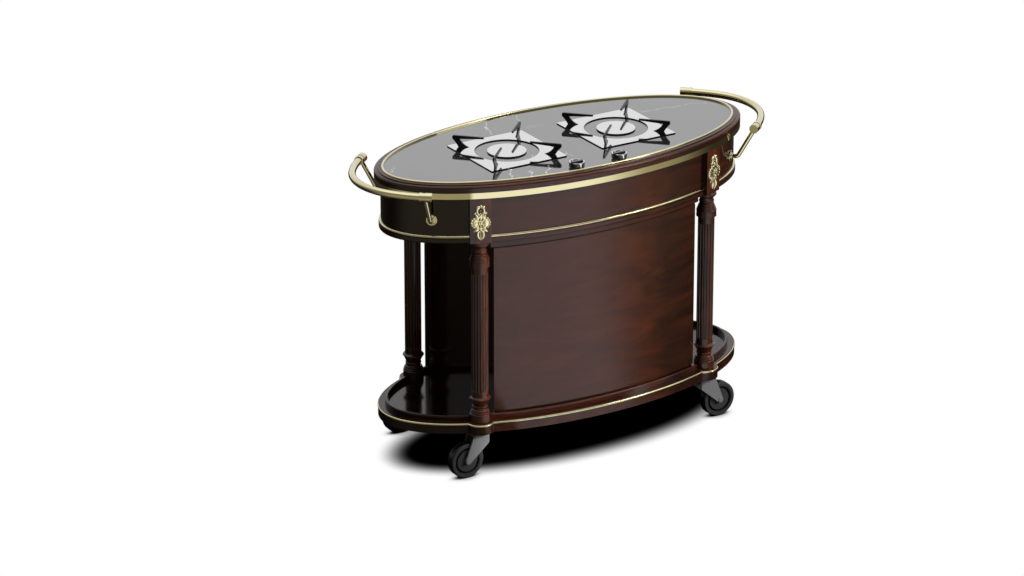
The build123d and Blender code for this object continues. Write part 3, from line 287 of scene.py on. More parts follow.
def scaled(tree, vector, factors):
    node = place(tree, "ShaderNodeVectorMath", {0: vector, 1: factors}, operation="MULTIPLY")
    return node.outputs["Vector"]


def diagonal(tree, first, second):
    """Length of the diagonal over two sides."""
    squares = [math_node(tree, "MULTIPLY", side, side) for side in (first, second)]
    return math_node(tree, "SQRT", math_node(tree, "ADD", *squares))


def remapped(tree, value, low, high, to_low=0.0, to_high=1.0):
    """A value spread smoothly from one range over another."""
    node = place(
        tree, "ShaderNodeMapRange", {0: value, 1: low, 2: high, 3: to_low, 4: to_high},
        interpolation_type="SMOOTHSTEP",
    )
    return node.outputs["Result"]


def mixed(tree, factor, first, second, blend="MIX"):
    node = place(tree, "ShaderNodeMix", data_type="RGBA", blend_type=blend)
    for index, value in ((0, factor), (6, first), (7, second)):
        if isinstance(value, bpy.types.NodeSocket):
            tree.links.new(value, node.inputs[index])
        else:
            node.inputs[index].default_value = value
    return node.outputs[2]


def noise(tree, vector, scale, detail=2.0, roughness=0.5, distortion=0.0):
    node = place(
        tree, "ShaderNodeTexNoise",
        {
            "Vector": vector, "Scale": scale, "Detail": detail, "Roughness": roughness,
            "Distortion": distortion,
        },
    )
    return node.outputs["Fac"]


def place_on_piece(tree):
    return place(tree, "ShaderNodeTexCoord").outputs["Object"]


def node_group(name, inputs, outputs):
    """An empty shader group with named sockets, and its two end nodes."""
    tree = bpy.data.node_groups.new(name, "ShaderNodeTree")
    for label, kind, value in inputs:
        socket = tree.interface.new_socket(name=label, in_out="INPUT", socket_type=kind)
        socket.default_value = value
    for label, kind in outputs:
        tree.interface.new_socket(name=label, in_out="OUTPUT", socket_type=kind)
    return tree, tree.nodes.new("NodeGroupInput"), tree.nodes.new("NodeGroupOutput")


def use_group(tree, group, inputs=None):
    return place(tree, "ShaderNodeGroup", inputs, node_tree=group)


# Shared effects

def oval_lines_group():
    """Coordinates that run round the oval, mirrored at its two ends, so bowed boards have bent grain."""
    tree, _, end = node_group("Oval Lines", [], [("Vector", "NodeSocketVector")])
    split = place(tree, "ShaderNodeSeparateXYZ", {0: place_on_piece(tree)})
    across = math_node(tree, "MULTIPLY", split.outputs["Y"], OVAL_LONG / OVAL_SHORT)
    turn = math_node(tree, "ARCTAN2", math_node(tree, "ABSOLUTE", across), split.outputs["X"])
    along = math_node(tree, "MULTIPLY", turn, (OVAL_LONG + OVAL_SHORT) / 2)
    out = diagonal(tree, across, split.outputs["X"])
    joined = place(tree, "ShaderNodeCombineXYZ", {0: along, 1: out, 2: split.outputs["Z"]})
    tree.links.new(joined.outputs[0], end.inputs["Vector"])
    return tree


def grain_group():
    """Mahogany figure from coordinates whose X runs along the grain."""
    tree, start, end = node_group(
        "Mahogany Grain",
        [
            ("Vector", "NodeSocketVector", (0, 0, 0)),
            ("Dark", "NodeSocketColor", (0, 0, 0, 1)),
            ("Warm", "NodeSocketColor", (0.1, 0.05, 0.03, 1)),
            ("Red", "NodeSocketColor", (0.2, 0.05, 0.03, 1)),
            ("Figure", "NodeSocketFloat", 1.0),
        ],
        [("Color", "NodeSocketColor"), ("Height", "NodeSocketFloat"), ("Roughness", "NodeSocketFloat")],
    )
    vector = start.outputs["Vector"]
    bands = noise(
        tree, scaled(tree, vector, (3.2, 12.0, 12.0)), 1.0, detail=4.0, roughness=0.55, distortion=2.0
    )
    cloud = noise(tree, scaled(tree, vector, (3.6, 8.0, 8.0)), 1.0, distortion=1.4)
    pores = noise(tree, scaled(tree, vector, (26.0, 900.0, 900.0)), 1.0)
    body = mixed(tree, remapped(tree, bands, 0.30, 0.62), start.outputs["Dark"], start.outputs["Warm"])
    body = mixed(tree, remapped(tree, bands, 0.50, 0.76, 0.0, 0.7), body, start.outputs["Red"])
    body = mixed(tree, remapped(tree, cloud, 0.50, 0.74, 0.0, 0.55), body, start.outputs["Dark"])
    body = mixed(tree, remapped(tree, pores, 0.60, 0.72, 0.0, 0.25), body, start.outputs["Dark"])
    body = mixed(tree, start.outputs["Figure"], start.outputs["Warm"], body)
    tree.links.new(body, end.inputs["Color"])
    tree.links.new(pores, end.inputs["Height"])
    tree.links.new(remapped(tree, cloud, 0.3, 0.7, 0.30, 0.40), end.inputs["Roughness"])
    return tree


def smudge_group():
    """Roughness that wanders a little, as polish and wiping leave it."""
    tree, start, end = node_group(
        "Wiped Polish",
        [
            ("Scale", "NodeSocketFloat", 9.0),
            ("Low", "NodeSocketFloat", 0.05),
            ("High", "NodeSocketFloat", 0.12),
        ],
        [("Roughness", "NodeSocketFloat")],
    )
    field = noise(
        tree, place_on_piece(tree), start.outputs["Scale"], detail=4.0, roughness=0.6, distortion=0.4
    )
    node = place(
        tree, "ShaderNodeMapRange",
        {0: field, 1: 0.35, 2: 0.65, 3: start.outputs["Low"], 4: start.outputs["High"]},
    )
    tree.links.new(node.outputs["Result"], end.inputs["Roughness"])
    return tree


def recess_group():
    """A second colour where a surface is hemmed in: tarnish and dust in some finishes, a darker grey in the
    burner heads, and painted shade in the castor forks.
    """
    tree, start, end = node_group(
        "Recess Colour and Shade",
        [
            ("Clean", "NodeSocketColor", (0.8, 0.8, 0.8, 1)),
            ("Recess Tone", "NodeSocketColor", (0.1, 0.1, 0.1, 1)),
            ("Reach", "NodeSocketFloat", 0.004),
            ("Amount", "NodeSocketFloat", 0.8),
        ],
        [("Color", "NodeSocketColor")],
    )
    hemmed = place(
        tree, "ShaderNodeAmbientOcclusion", {"Distance": start.outputs["Reach"]}, samples=8, only_local=True
    )
    share = remapped(tree, hemmed.outputs["AO"], 0.35, 0.95, 1.0, 0.0)
    share = math_node(tree, "MULTIPLY", share, start.outputs["Amount"])
    colour = mixed(tree, share, start.outputs["Clean"], start.outputs["Recess Tone"])
    tree.links.new(colour, end.inputs["Color"])
    return tree


GROUP_MAKERS = {
    "Oval Lines": oval_lines_group,
    "Mahogany Grain": grain_group,
    "Wiped Polish": smudge_group,
    "Recess Colour and Shade": recess_group,
}


def shared(name):
    """A shared effect, built the first time that it is asked for."""
    return bpy.data.node_groups.get(name) or GROUP_MAKERS[name]()


# Materials

def colours():
    return bpy.context.scene.cart_colours


def empty_material(name):
    material = bpy.data.materials.new(name)
    material.use_nodes = True
    material.node_tree.nodes.clear()
    return material, material.node_tree


def new_material(name, **sockets):
    """A material with one Principled shader, and the plain values of its sockets."""
    material, tree = empty_material(name)
    output = place(tree, "ShaderNodeOutputMaterial")
    shader = place(tree, "ShaderNodeBsdfPrincipled")
    for label, value in sockets.items():
        shader.inputs[label.replace("_", " ")].default_value = value
    tree.links.new(shader.outputs["BSDF"], output.inputs["Surface"])
    return material, tree, shader


def link(tree, source, shader, socket):
    tree.links.new(source, shader.inputs[socket])


def bumped(tree, shader, height, strength, distance):
    bump = place(tree, "ShaderNodeBump", {"Height": height, "Strength": strength, "Distance": distance})
    link(tree, bump.outputs["Normal"], shader, "Normal")


def grained(tree, shader, scale, detail, strength):
    """A fine grain of the surface."""
    bumped(tree, shader, noise(tree, place_on_piece(tree), scale, detail), strength, GRAIN_DEPTH)


def polished(tree, shader, scale, low, high):
    group = use_group(tree, shared("Wiped Polish"), {"Scale": scale, "Low": low, "High": high})
    link(tree, group.outputs["Roughness"], shader, "Roughness")


# A second colour where the surface is hemmed in: real tarnish and dust for some finishes, painted shade for
# the castor forks.
def recess_colour_and_shade(tree, shader, clean, second, reach, amount):
    group = use_group(
        tree, shared("Recess Colour and Shade"), {"Clean": clean, "Recess Tone": second, "Reach": reach, "Amount": amount}
    )
    link(tree, group.outputs["Color"], shader, "Base Color")


def mahogany(name, lines, wood, gloss, figure):
    """Lacquered mahogany; lines makes the coordinates whose X runs along the grain."""
    tone = colours()
    material, tree, shader = new_material(
        name, Coat_Weight=1.0, Coat_Roughness=gloss, Coat_IOR=1.4, Specular_IOR_Level=0.0
    )
    vector = lines(tree)
    grain = use_group(
        tree, shared("Mahogany Grain"),
        {
            "Vector": vector,
            "Figure": figure(tree, vector),
            "Dark": getattr(tone, wood + "_dark"),
            "Warm": getattr(tone, wood + "_warm"),
            "Red": getattr(tone, wood + "_red"),
        },
    )
    link(tree, grain.outputs["Color"], shader, "Base Color")
    link(tree, grain.outputs["Roughness"], shader, "Roughness")
    bumped(tree, shader, grain.outputs["Height"], strength=0.05, distance=0.0002)
    return material


def matched_figure(tree, vector):
    """Veneer that is plain at the left and livelier to the right."""
    split = place(tree, "ShaderNodeSeparateXYZ", {0: vector})
    return remapped(tree, split.outputs["X"], *FIGURE_FADE)


def even_figure(tree, vector):
    return EVEN_FIGURE


def bent_lines(tree):
    return use_group(tree, shared("Oval Lines")).outputs["Vector"]


def upright_lines(tree):
    split = place(tree, "ShaderNodeSeparateXYZ", {0: place_on_piece(tree)})
    joined = place(
        tree, "ShaderNodeCombineXYZ",
        {0: split.outputs["Z"], 1: split.outputs["X"], 2: split.outputs["Y"]},
    )
    return joined.outputs[0]


def broken_lines(tree, spot, scale, width, break_scale, break_at, strength):
    """Thin lines along the middle level of a noise, broken up by a finer noise."""
    field = noise(tree, scaled(tree, spot, (1.0, 0.5, 1.0)), scale, detail=1.5, distortion=0.6)
    line = math_node(tree, "ABSOLUTE", math_node(tree, "SUBTRACT", field, 0.5))
    line = remapped(tree, line, 0.0, width, strength, 0.0)
    gaps = remapped(tree, noise(tree, spot, break_scale), break_at, break_at + 0.06)
    return math_node(tree, "MULTIPLY", line, gaps)


def short_vein(tree, spot, start, end, strength):
    """A thin pale line between two points of the stone, faintest at its edges."""
    start, run = Vector((*start, 0)), Vector((*end, 0)) - Vector((*start, 0))
    away = place(tree, "ShaderNodeVectorMath", {0: spot, 1: start}, operation="SUBTRACT").outputs[0]
    share = place(
        tree, "ShaderNodeVectorMath", {0: away, 1: run / run.length_squared}, operation="DOT_PRODUCT"
    )
    share = place(tree, "ShaderNodeClamp", {0: share.outputs["Value"]}).outputs[0]
    near = place(tree, "ShaderNodeVectorMath", {0: run, "Scale": share}, operation="SCALE").outputs[0]
    gap = place(tree, "ShaderNodeVectorMath", {0: away, 1: near}, operation="DISTANCE")
    return remapped(tree, gap.outputs["Value"], 0.0, VEIN_HALF_WIDTH, strength, 0.0)


def stone_material():
    """Polished black stone with a few broken pale veins."""
    tone = colours()
    material, tree, shader = new_material(
        "Black Stone", Coat_Weight=1.0, Coat_Roughness=0.02, Coat_IOR=1.5, Specular_IOR_Level=1.0
    )
    spot = place_on_piece(tree)
    wander = place(tree, "ShaderNodeTexNoise", {"Vector": spot, "Scale": 38.0, "Detail": 3.0})
    level = scaled(tree, spot, (1.0, 1.0, 0.0))
    bent = place(
        tree, "ShaderNodeVectorMath",
        {0: wander.outputs["Color"], 1: (VEIN_WANDER, VEIN_WANDER, 0.0), 2: level}, operation="MULTIPLY_ADD",
    ).outputs[0]
    vein = broken_lines(
        tree, spot, scale=13.0, width=0.0060, break_scale=16.0, break_at=0.62, strength=0.20
    )
    for start, end, strength in STONE_VEINS:
        line = short_vein(tree, bent, start, end, strength)
        vein = math_node(tree, "MAXIMUM", vein, line)
    colour = mixed(tree, vein, tone.stone, tone.vein)
    link(tree, colour, shader, "Base Color")
    polished(tree, shader, scale=6.0, low=0.03, high=0.07)
    return material


def metal(name, colour, second, reach, amount, scale, low, high):
    """Lacquered metal with wiped polish and a darker colour in its recesses."""
    material, tree, shader = new_material(name, Metallic=1.0, Coat_Weight=1.0, Coat_IOR=1.8)
    recess_colour_and_shade(tree, shader, colour, second, reach, amount)
    polished(tree, shader, scale, low, high)
    return material


def brass_material():
    tone = colours()
    return metal(
        "Polished Brass", tone.brass, tone.tarnish, reach=0.003, amount=0.55, scale=14.0, low=0.03, high=0.07
    )


def gilt_material():
    tone = colours()
    return metal(
        "Cast Gilt", tone.gilt, tone.tarnish, reach=0.0045, amount=0.95, scale=60.0, low=0.16, high=0.28
    )


def copper_material():
    tone = colours()
    return metal(
        "Drawn Copper", tone.copper, tone.tarnish, reach=0.006, amount=0.5, scale=25.0, low=0.18, high=0.30
    )


def steel_material(name, colour, low, high):
    """Bright steel with a faint turned or rolled texture."""
    material, tree, shader = new_material(name, Metallic=1.0)
    spot = place_on_piece(tree)
    streaks = noise(tree, scaled(tree, spot, (30.0, 900.0, 900.0)), 1.0)
    tint = [value * 0.93 for value in colour[:3]] + [1.0]
    link(tree, mixed(tree, remapped(tree, streaks, 0.35, 0.65), tint, colour), shader, "Base Color")
    polished(tree, shader, scale=11.0, low=low, high=high)
    return material


def facing(tree, axis):
    """How far a surface faces along one axis of the piece."""
    split = place(tree, "ShaderNodeSeparateXYZ", {0: place(tree, "ShaderNodeTexCoord").outputs["Normal"]})
    return math_node(tree, "ABSOLUTE", split.outputs[axis])


def shade_edged_metal(name, colour, low, high, index=False):
    """Polished metal, bright where it faces up and painted dark round its edge as painted shade, but for an
    index mark at the front.
    """
    material, tree, shader = new_material(name, Metallic=1.0)
    bright = remapped(tree, facing(tree, "Z"), 0.75, 0.97)
    if index:
        mark = remapped(tree, facing(tree, "Y"), 0.96, 0.99)
        bright = math_node(tree, "MAXIMUM", bright, mark)
    # The rubber black on the sides is painted shade.
    link(tree, mixed(tree, bright, colours().rubber, colour), shader, "Base Color")
    polished(tree, shader, scale=14.0, low=low, high=high)
    return material


def wheel_material(name, share):
    """Moulded wheel piece, grey where share is one and black where it is none; on the hub the black down in
    its groove is painted shade.
    """
    tone = colours()
    material, tree, shader = new_material(name, Specular_IOR_Level=0.3)
    link(tree, mixed(tree, share(tree), tone.rubber, tone.hub), shader, "Base Color")
    polished(tree, shader, scale=35.0, low=0.26, high=0.36)
    grained(tree, shader, scale=700.0, detail=2.0, strength=0.12)
    return material


def tyre_sides(tree):
    return remapped(tree, facing(tree, "Y"), 0.80, 0.97)


def hub_faces(tree):
    """One on the outer faces of a hub and none down in its ring groove, which gets painted shade."""
    split = place(tree, "ShaderNodeSeparateXYZ", {0: place_on_piece(tree)})
    across = math_node(tree, "SUBTRACT", math_node(tree, "ABSOLUTE", split.outputs["Y"]), COLUMN_Y)
    return remapped(tree, math_node(tree, "ABSOLUTE", across), *HUB_GROOVE)


def enamel_material():
    tone = colours()
    material, tree, shader = new_material("Black Enamel", Specular_IOR_Level=0.25)
    recess_colour_and_shade(tree, shader, tone.enamel, tone.dust, reach=0.002, amount=0.02)
    polished(tree, shader, scale=40.0, low=0.20, high=0.30)
    grained(tree, shader, scale=900.0, detail=3.0, strength=0.12)
    return material


def alloy_material():
    tone = colours()
    material, tree, shader = new_material("Cast Alloy", Metallic=1.0)
    # Hub grey in the recesses of the burner heads, darker towards them.
    recess_colour_and_shade(tree, shader, tone.alloy, tone.hub, reach=0.004, amount=0.8)
    polished(tree, shader, scale=60.0, low=0.38, high=0.52)
    grained(tree, shader, scale=1100.0, detail=3.0, strength=0.3)
    return material


def knob_material():
    tone = colours()
    material, tree, shader = new_material("Knob Black", Coat_Weight=0.5, Coat_Roughness=0.05)
    recess_colour_and_shade(tree, shader, tone.knob, tone.dust, reach=0.0015, amount=0.10)
    polished(tree, shader, scale=50.0, low=0.16, high=0.26)
    return material


def painted_material(name, colour, second, reach, amount, low, high, grain, strength):
    """Paint with a second colour in its corners and a fine surface grain; the corners' colour is pale dust on
    the plain board and painted shade on the castor forks.
    """
    material, tree, shader = new_material(name)
    recess_colour_and_shade(tree, shader, colour, second, reach, amount)
    polished(tree, shader, scale=35.0, low=low, high=high)
    grained(tree, shader, grain, 2.0, strength)
    return material


def on_sides(*names):
    """Nodes that the cart has on its left and right."""
    return [f"{name}_{side}" for name in names for side in SIDES]


def on_corners(*names):
    """Nodes that the cart has at its four corners."""
    return [f"{name}_{corner}" for name in names for corner in CORNERS]


def dress(material, *nodes):
    """Gives nodes of the cart one material."""
    for name in nodes:
        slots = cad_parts[name].data.materials
        slots.clear()
        slots.append(material)


# Cast ornaments, drawn in millimetres: X across, Y up, Z out of the block

def ring_points(centre, side, up, half_width, half_height):
    """Points of an oval, one for each side of a bar."""
    for step in range(BAR_SIDES):
        turn = 2 * math.pi * step / BAR_SIDES
        yield centre + side * (math.cos(turn) * half_width) + up * (math.sin(turn) * half_height)


def add_bar(mesh, path, widths, heights):
    """A closed bar along a flat path, with a half width and half height at each point."""
    rings = []
    for index, point in enumerate(path):
        before, after = path[max(index - 1, 0)], path[min(index + 1, len(path) - 1)]
        ahead = (after - before).normalized()
        side = Vector((-ahead.y, ahead.x, 0))
        ring = ring_points(point, side, Vector((0, 0, 1)), widths[index], heights[index])
        rings.append([mesh.verts.new(spot) for spot in ring])
    for first, second in zip(rings, rings[1:]):
        for step in range(BAR_SIDES):
            after = (step + 1) % BAR_SIDES
            mesh.faces.new((first[step], first[after], second[after], second[step]))
    mesh.faces.new(list(reversed(rings[0])))
    mesh.faces.new(rings[-1])


def add_leaf(mesh, root, turn, length, width, height, curl=0.0):
    """A pointed leaf with a crowned back that bends to one side."""
    path, widths, heights = [], [], []
    for step in range(LEAF_STEPS + 1):
        share = step / LEAF_STEPS
        bend = math.radians(turn) + curl * share
        start = path[-1] if path else Vector((*root, LEAF_LEVEL))
        stride = length / LEAF_STEPS if path else 0.0
        path.append(start + Vector((-math.sin(bend), math.cos(bend), 0)) * stride)
        swell = math.sin(math.pi * min(0.06 + 0.94 * share, 0.995)) ** 0.8
        widths.append(max(width / 2 * swell, 0.25))
        heights.append(max(height * swell, 0.3))
    add_bar(mesh, path, widths, heights)


def add_scroll(mesh, centre, radius, turns, start, thick, hand):
    """A bar that winds inwards and ends in a bead."""
    steps = int(SCROLL_STEPS * turns)
    path, widths, heights = [], [], []
    for step in range(steps + 1):
        share = step / steps
        reach = radius * (1 - 0.78 * share)
        turn = math.radians(start) + hand * 2 * math.pi * turns * share
        x, y = centre[0] + reach * math.cos(turn), centre[1] + reach * math.sin(turn)
        path.append(Vector((x, y, SCROLL_LEVEL)))
        widths.append(thick * (1 - 0.45 * share))
        heights.append(thick * (BAR_CROWN - 0.35 * share))
    add_bar(mesh, path, widths, heights)
    across = thick * BAR_CROWN
    add_bead(mesh, path[-1].x, path[-1].y, across, across, height=2.4)


def add_bead(mesh, x, y, across, along, height):
    """A round or oval bead, by its half sizes."""
    made = bmesh.ops.create_uvsphere(mesh, u_segments=16, v_segments=10, radius=1.0)
    shape = Matrix.Translation((x, y, BEAD_LEVEL)) @ Matrix.Diagonal((across, along, height, 1.0))
    bmesh.ops.transform(mesh, matrix=shape, verts=made["verts"])


def add_strand(mesh, points, thick):
    """A bar of even width through a few points, swelling a little in the middle."""
    path = []
    for first, second in zip(points, points[1:]):
        for step in range(STRAND_STEPS):
            share = step / STRAND_STEPS
            x = first[0] + (second[0] - first[0]) * share
            y = first[1] + (second[1] - first[1]) * share
            path.append(Vector((x, y, STRAND_LEVEL)))
    path.append(Vector((*points[-1], STRAND_LEVEL)))
    last = len(path) - 1
    widths = [thick * (0.8 + 0.3 * math.sin(math.pi * index / last)) for index in range(last + 1)]
    add_bar(mesh, path, widths, [width * BAR_CROWN for width in widths])


def add_side_fan(mesh, side, leaves):
    """A round lobe of leaves that spread from the middle to one side."""
    for index in range(leaves):
        spread = math.radians(FAN_ANGLE) * (index / (leaves - 1) - 0.5)
        turn = -side * (90.0 - math.degrees(spread))
        add_leaf(mesh, (side * FAN_ROOT, 0), turn, length=18.5, width=8.8, height=2.9)
        x = FAN_TIP_MIDDLE + FAN_TIP_RADIUS * math.cos(spread)
        y = FAN_TIP_RADIUS * math.sin(spread)
        add_bead(mesh, side * x, y, across=3.5, along=3.5, height=3.7)
    add_bead(mesh, side * 12.5, 0, across=4.6, along=5.0, height=4.0)


def add_crown(mesh, side):
    """Half of the loop above the middle, with its curl and lobe."""
    loop = [(4.5, 22), (8.6, 28), (9.6, 34), (8.4, 40), (4, 44.5)]
    add_strand(mesh, [(side * x, y) for x, y in loop], thick=3.2)
    add_bead(mesh, side * 6.6, 43.0, across=5.8, along=5.4, height=3.9)
    add_scroll(
        mesh, (side * 13.8, 26.2), radius=3.6, turns=1.0, start=90 + side * 110, thick=1.8, hand=-side
    )
    add_strand(mesh, [(side * 13.5, 23.0), (side * 10.2, 18.5), (side * 5.4, 12.0)], thick=2.6)
    add_leaf(mesh, (side * 2.0, 11.0), -side * 26, length=14.0, width=7.0, height=3.3)
    add_leaf(mesh, (side * 5.0, 7.0), -side * 40, length=15.0, width=8.4, height=3.0)


def add_foot(mesh, side):
    """Half of the loop below the middle, with its leaf and lobe."""
    loop = [(4.0, -22), (7.4, -28), (8.0, -34), (6.6, -40), (3, -45.5)]
    add_strand(mesh, [(side * x, y) for x, y in loop], thick=3.7)
    add_bead(mesh, side * 5.4, -42.6, across=4.6, along=4.6, height=3.7)
    add_leaf(mesh, (side * 4.0, -13.5), -side * 138, length=20.5, width=9.0, height=3.4, curl=side * 0.3)
    add_leaf(mesh, (side * 5.0, -7.0), -side * 140, length=15.0, width=8.4, height=3.0)


def ornament_mesh(settings):
    """One ornament: a fan to each side, a pierced middle, and a loop with a tip above and below."""
    mesh = bmesh.new()
    add_bead(mesh, 0, 0, across=3.8, along=3.8, height=4.2)
    for turn in range(0, 360, SPOKE_ANGLE):
        reach = SLANT_REACH if turn % 90 else SQUARE_REACH
        end = (reach * math.cos(math.radians(turn)), reach * math.sin(math.radians(turn)))
        add_strand(mesh, [(0, 0), end], thick=2.0)
    add_leaf(mesh, (0, 7.0), 0, length=22.0, width=10.4, height=3.4)
    add_leaf(mesh, (0, -7.0), 180, length=20.0, width=9.0, height=3.4)
    add_bead(mesh, 0, 33.8, across=2.1, along=2.1, height=3.6)
    add_strand(mesh, [(0, -24), (0, -42)], thick=1.3)
    add_leaf(mesh, (0, 43.0), 0, length=8.6, width=5.2, height=2.8)
    add_leaf(mesh, (0, -42.5), 180, length=8.8, width=5.0, height=2.8)
    for side in (1, -1):
        add_side_fan(mesh, side, settings.fan)
        add_crown(mesh, side)
        add_foot(mesh, side)
    bmesh.ops.scale(mesh, vec=(1, 1, settings.relief / (DRAWN_RELIEF * MILLIMETRE)), verts=mesh.verts)
    bmesh.ops.recalc_face_normals(mesh, faces=mesh.faces)
    return mesh


def corner_matrix(corner):
    """Turns the ornament's drawing plane to the face of a corner block."""
    side, end = CORNERS[corner]
    x, y = side * COLUMN_X, end * COLUMN_Y
    out = Vector((x / COLUMN_OVAL[0] ** 2, y / COLUMN_OVAL[1] ** 2, 0)).normalized()
    across = Vector((0, 0, 1)).cross(out)
    place_at = Vector((x, y, ORNAMENT_LEVEL)) + out * BLOCK_FACE
    turn = Matrix((across, Vector((0, 0, 1)), out)).transposed().to_4x4()
    return Matrix.Translation(place_at) @ turn @ Matrix.Scale(MILLIMETRE, 4)


def new_object(name, mesh, material):
    """An object made from a bmesh, in the scene."""
    data = bpy.data.meshes.new(name)
    mesh.to_mesh(data)
    mesh.free()
    made = bpy.data.objects.new(name, data)
    bpy.context.scene.collection.objects.link(made)
    data.materials.append(material)
    return made


def apply_modifiers(piece):
    """Keeps the result of a piece's modifiers as its mesh."""
    graph = bpy.context.evaluated_depsgraph_get()
    done = bpy.data.meshes.new_from_object(piece.evaluated_get(graph))
    piece.modifiers.clear()
    piece.data = done


# Operators

class CART_OT_wood(bpy.types.Operator):
    """Finishes the boards, mouldings, legs and doors in lacquered mahogany"""

    bl_idname = "cart.wood"
    bl_label = "Wood"

    def execute(self, context):
        bent = mahogany("Mahogany Bent", bent_lines, "board", BOARD_GLOSS, matched_figure)
        flat = mahogany("Mahogany Flat", place_on_piece, "board", BOARD_GLOSS, even_figure)
        upright = mahogany("Mahogany Upright", upright_lines, "board", BOARD_GLOSS, even_figure)
        turned = mahogany("Mahogany Turned", upright_lines, "leg", LEG_GLOSS, even_figure)
        dress(
            bent, "table_frame", "apron_boards", "apron_mouldings", "shelf_bead", "front_panel",
            "cabinet_rails", *on_sides("door"),
        )
        dress(flat, "shelf_board")
        dress(upright, "side_panels")
        dress(turned, "corner_blocks", *on_corners("leg"))
        tone = colours()
        plain = painted_material(
            "Plain Board", tone.board, tone.dust, reach=0.006, amount=0.35, low=0.5, high=0.65,
            grain=300.0, strength=0.2,
        )
        dress(plain, "soffit_board")
        return {"FINISHED"}


class CART_OT_stone(bpy.types.Operator):
    """Finishes the stone of the worktop"""

    bl_idname = "cart.stone"
    bl_label = "Stone"

    def execute(self, context):
        dress(stone_material(), "stone_top")
        return {"FINISHED"}


class CART_OT_brass(bpy.types.Operator):
    """Finishes the bands, lines, handles and gas fittings"""

    bl_idname = "cart.brass"
    bl_label = "Brass"

    def execute(self, context):
        dress(
            brass_material(), "edge_band", "stone_rim", "brass_lines", "handle_collars",
            "handle_brackets", "gas_taps", *on_sides("handle_tube", "door_knob"),
        )
        dress(copper_material(), "gas_pipes")
        return {"FINISHED"}


class CART_OT_ornaments(bpy.types.Operator):
    """Makes the four cast ornaments of the corner blocks"""

    bl_idname = "cart.ornaments"
    bl_label = "Corner Ornaments"

    def execute(self, context):
        settings = context.scene.cart_ornament
        single = ornament_mesh(settings)
        data = bpy.data.meshes.new("ornament_single")
        single.to_mesh(data)
        single.free()
        joined = bmesh.new()
        for corner in CORNERS:
            start = len(joined.verts)
            joined.from_mesh(data)
            joined.verts.ensure_lookup_table()
            bmesh.ops.transform(joined, matrix=corner_matrix(corner), verts=joined.verts[start:])
        bpy.data.meshes.remove(data)
        piece = new_object("corner_ornaments_cast", joined, gilt_material())
        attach(piece, "cart")
        melt = piece.modifiers.new("Cast", "REMESH")
        melt.mode = "VOXEL"
        melt.voxel_size = settings.voxel
        melt.use_smooth_shade = True
        soften = piece.modifiers.new("Soften", "SMOOTH")
        soften.factor = 0.5
        soften.iterations = 2
        apply_modifiers(piece)
        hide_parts("corner_ornaments")
        return {"FINISHED"}


class CART_OT_burners(bpy.types.Operator):
    """Finishes the drip plates, pan supports, burners and caps"""

    bl_idname = "cart.burners"
    bl_label = "Burners"

    def execute(self, context):
        tone = colours()
        bright = shade_edged_metal("Burner Steel", tone.steel, low=0.03, high=0.08)
        dress(bright, *on_sides("drip_plate", "burner_cap"))
        dress(enamel_material(), *on_sides("pan_support"))
        dress(alloy_material(), "burner_bodies")
        return {"FINISHED"}


class CART_OT_knobs(bpy.types.Operator):
    """Finishes the control knobs, their rings and spindles"""

    bl_idname = "cart.knobs"
    bl_label = "Control Knobs"

    def execute(self, context):
        tone = colours()
        dress(knob_material(), *on_sides("control_knob"))
        dress(shade_edged_metal("Chrome", tone.chrome, low=0.03, high=0.07, index=True), *on_sides("knob_ring"))
        turned = steel_material("Turned Steel", tone.steel, low=0.20, high=0.32)
        dress(turned, "door_fittings", *on_sides("tap_spindle"))
        return {"FINISHED"}


class CART_OT_castors(bpy.types.Operator):
    """Finishes the castor forks, hubs and tyres"""

    bl_idname = "cart.castors"
    bl_label = "Castors"

    def execute(self, context):
        tone = colours()
        # Rubber black where the forks are hemmed in: painted shade on their inner faces and crowns.
        grey = painted_material(
            "Castor Grey", tone.fork, tone.rubber, reach=0.06, amount=0.95, low=0.42, high=0.55,
            grain=700.0, strength=0.08,
        )
        dress(grey, "castor_heads", *on_corners("castor_fork", "castor_axle"))
        dress(wheel_material("Moulded Hub", hub_faces), *on_corners("castor_hub"))
        dress(wheel_material("Tyre Rubber", tyre_sides), *on_corners("castor_tyre"))
        return {"FINISHED"}


# Stage

def add_lamp(name, power, size, spot, target, spread):
    """A soft lamp that mirrors don't show, and the angle that its light spreads over."""
    data = bpy.data.lights.new(name, "AREA")
    data.shape = "RECTANGLE"
    data.energy = power
    data.size, data.size_y = size
    data.spread = math.radians(spread)
    lamp = bpy.data.objects.new(name, data)
    lamp.location = spot
    lamp.rotation_euler = (Vector(target) - Vector(spot)).to_track_quat("-Z", "Y").to_euler()
    lamp.visible_glossy = False
    bpy.context.scene.collection.objects.link(lamp)


def seen_directly(tree):
    """One for rays from the camera, mirrors and glass, and none for the rest."""
    path = place(tree, "ShaderNodeLightPath")
    seen = math_node(tree, "MAXIMUM", path.outputs["Is Camera Ray"], path.outputs["Is Glossy Ray"])
    return math_node(tree, "MAXIMUM", seen, path.outputs["Is Transmission Ray"])


def shelf_inset(tree, spot):
    """Distance in from the edge of the shelf's oval, at a point of the floor."""
    split = place(tree, "ShaderNodeSeparateXYZ", {0: spot})
    across, along = split.outputs["X"], split.outputs["Y"]
    share = diagonal(
        tree, math_node(tree, "DIVIDE", across, SHELF_LONG), math_node(tree, "DIVIDE", along, SHELF_SHORT)
    )
    slope = diagonal(
        tree,
        math_node(tree, "DIVIDE", across, SHELF_LONG**2),
        math_node(tree, "DIVIDE", along, SHELF_SHORT**2),
    )
    reach = math_node(tree, "DIVIDE", share, math_node(tree, "MAXIMUM", slope, 0.001))
    return math_node(tree, "MULTIPLY", math_node(tree, "SUBTRACT", 1.0, share), reach)


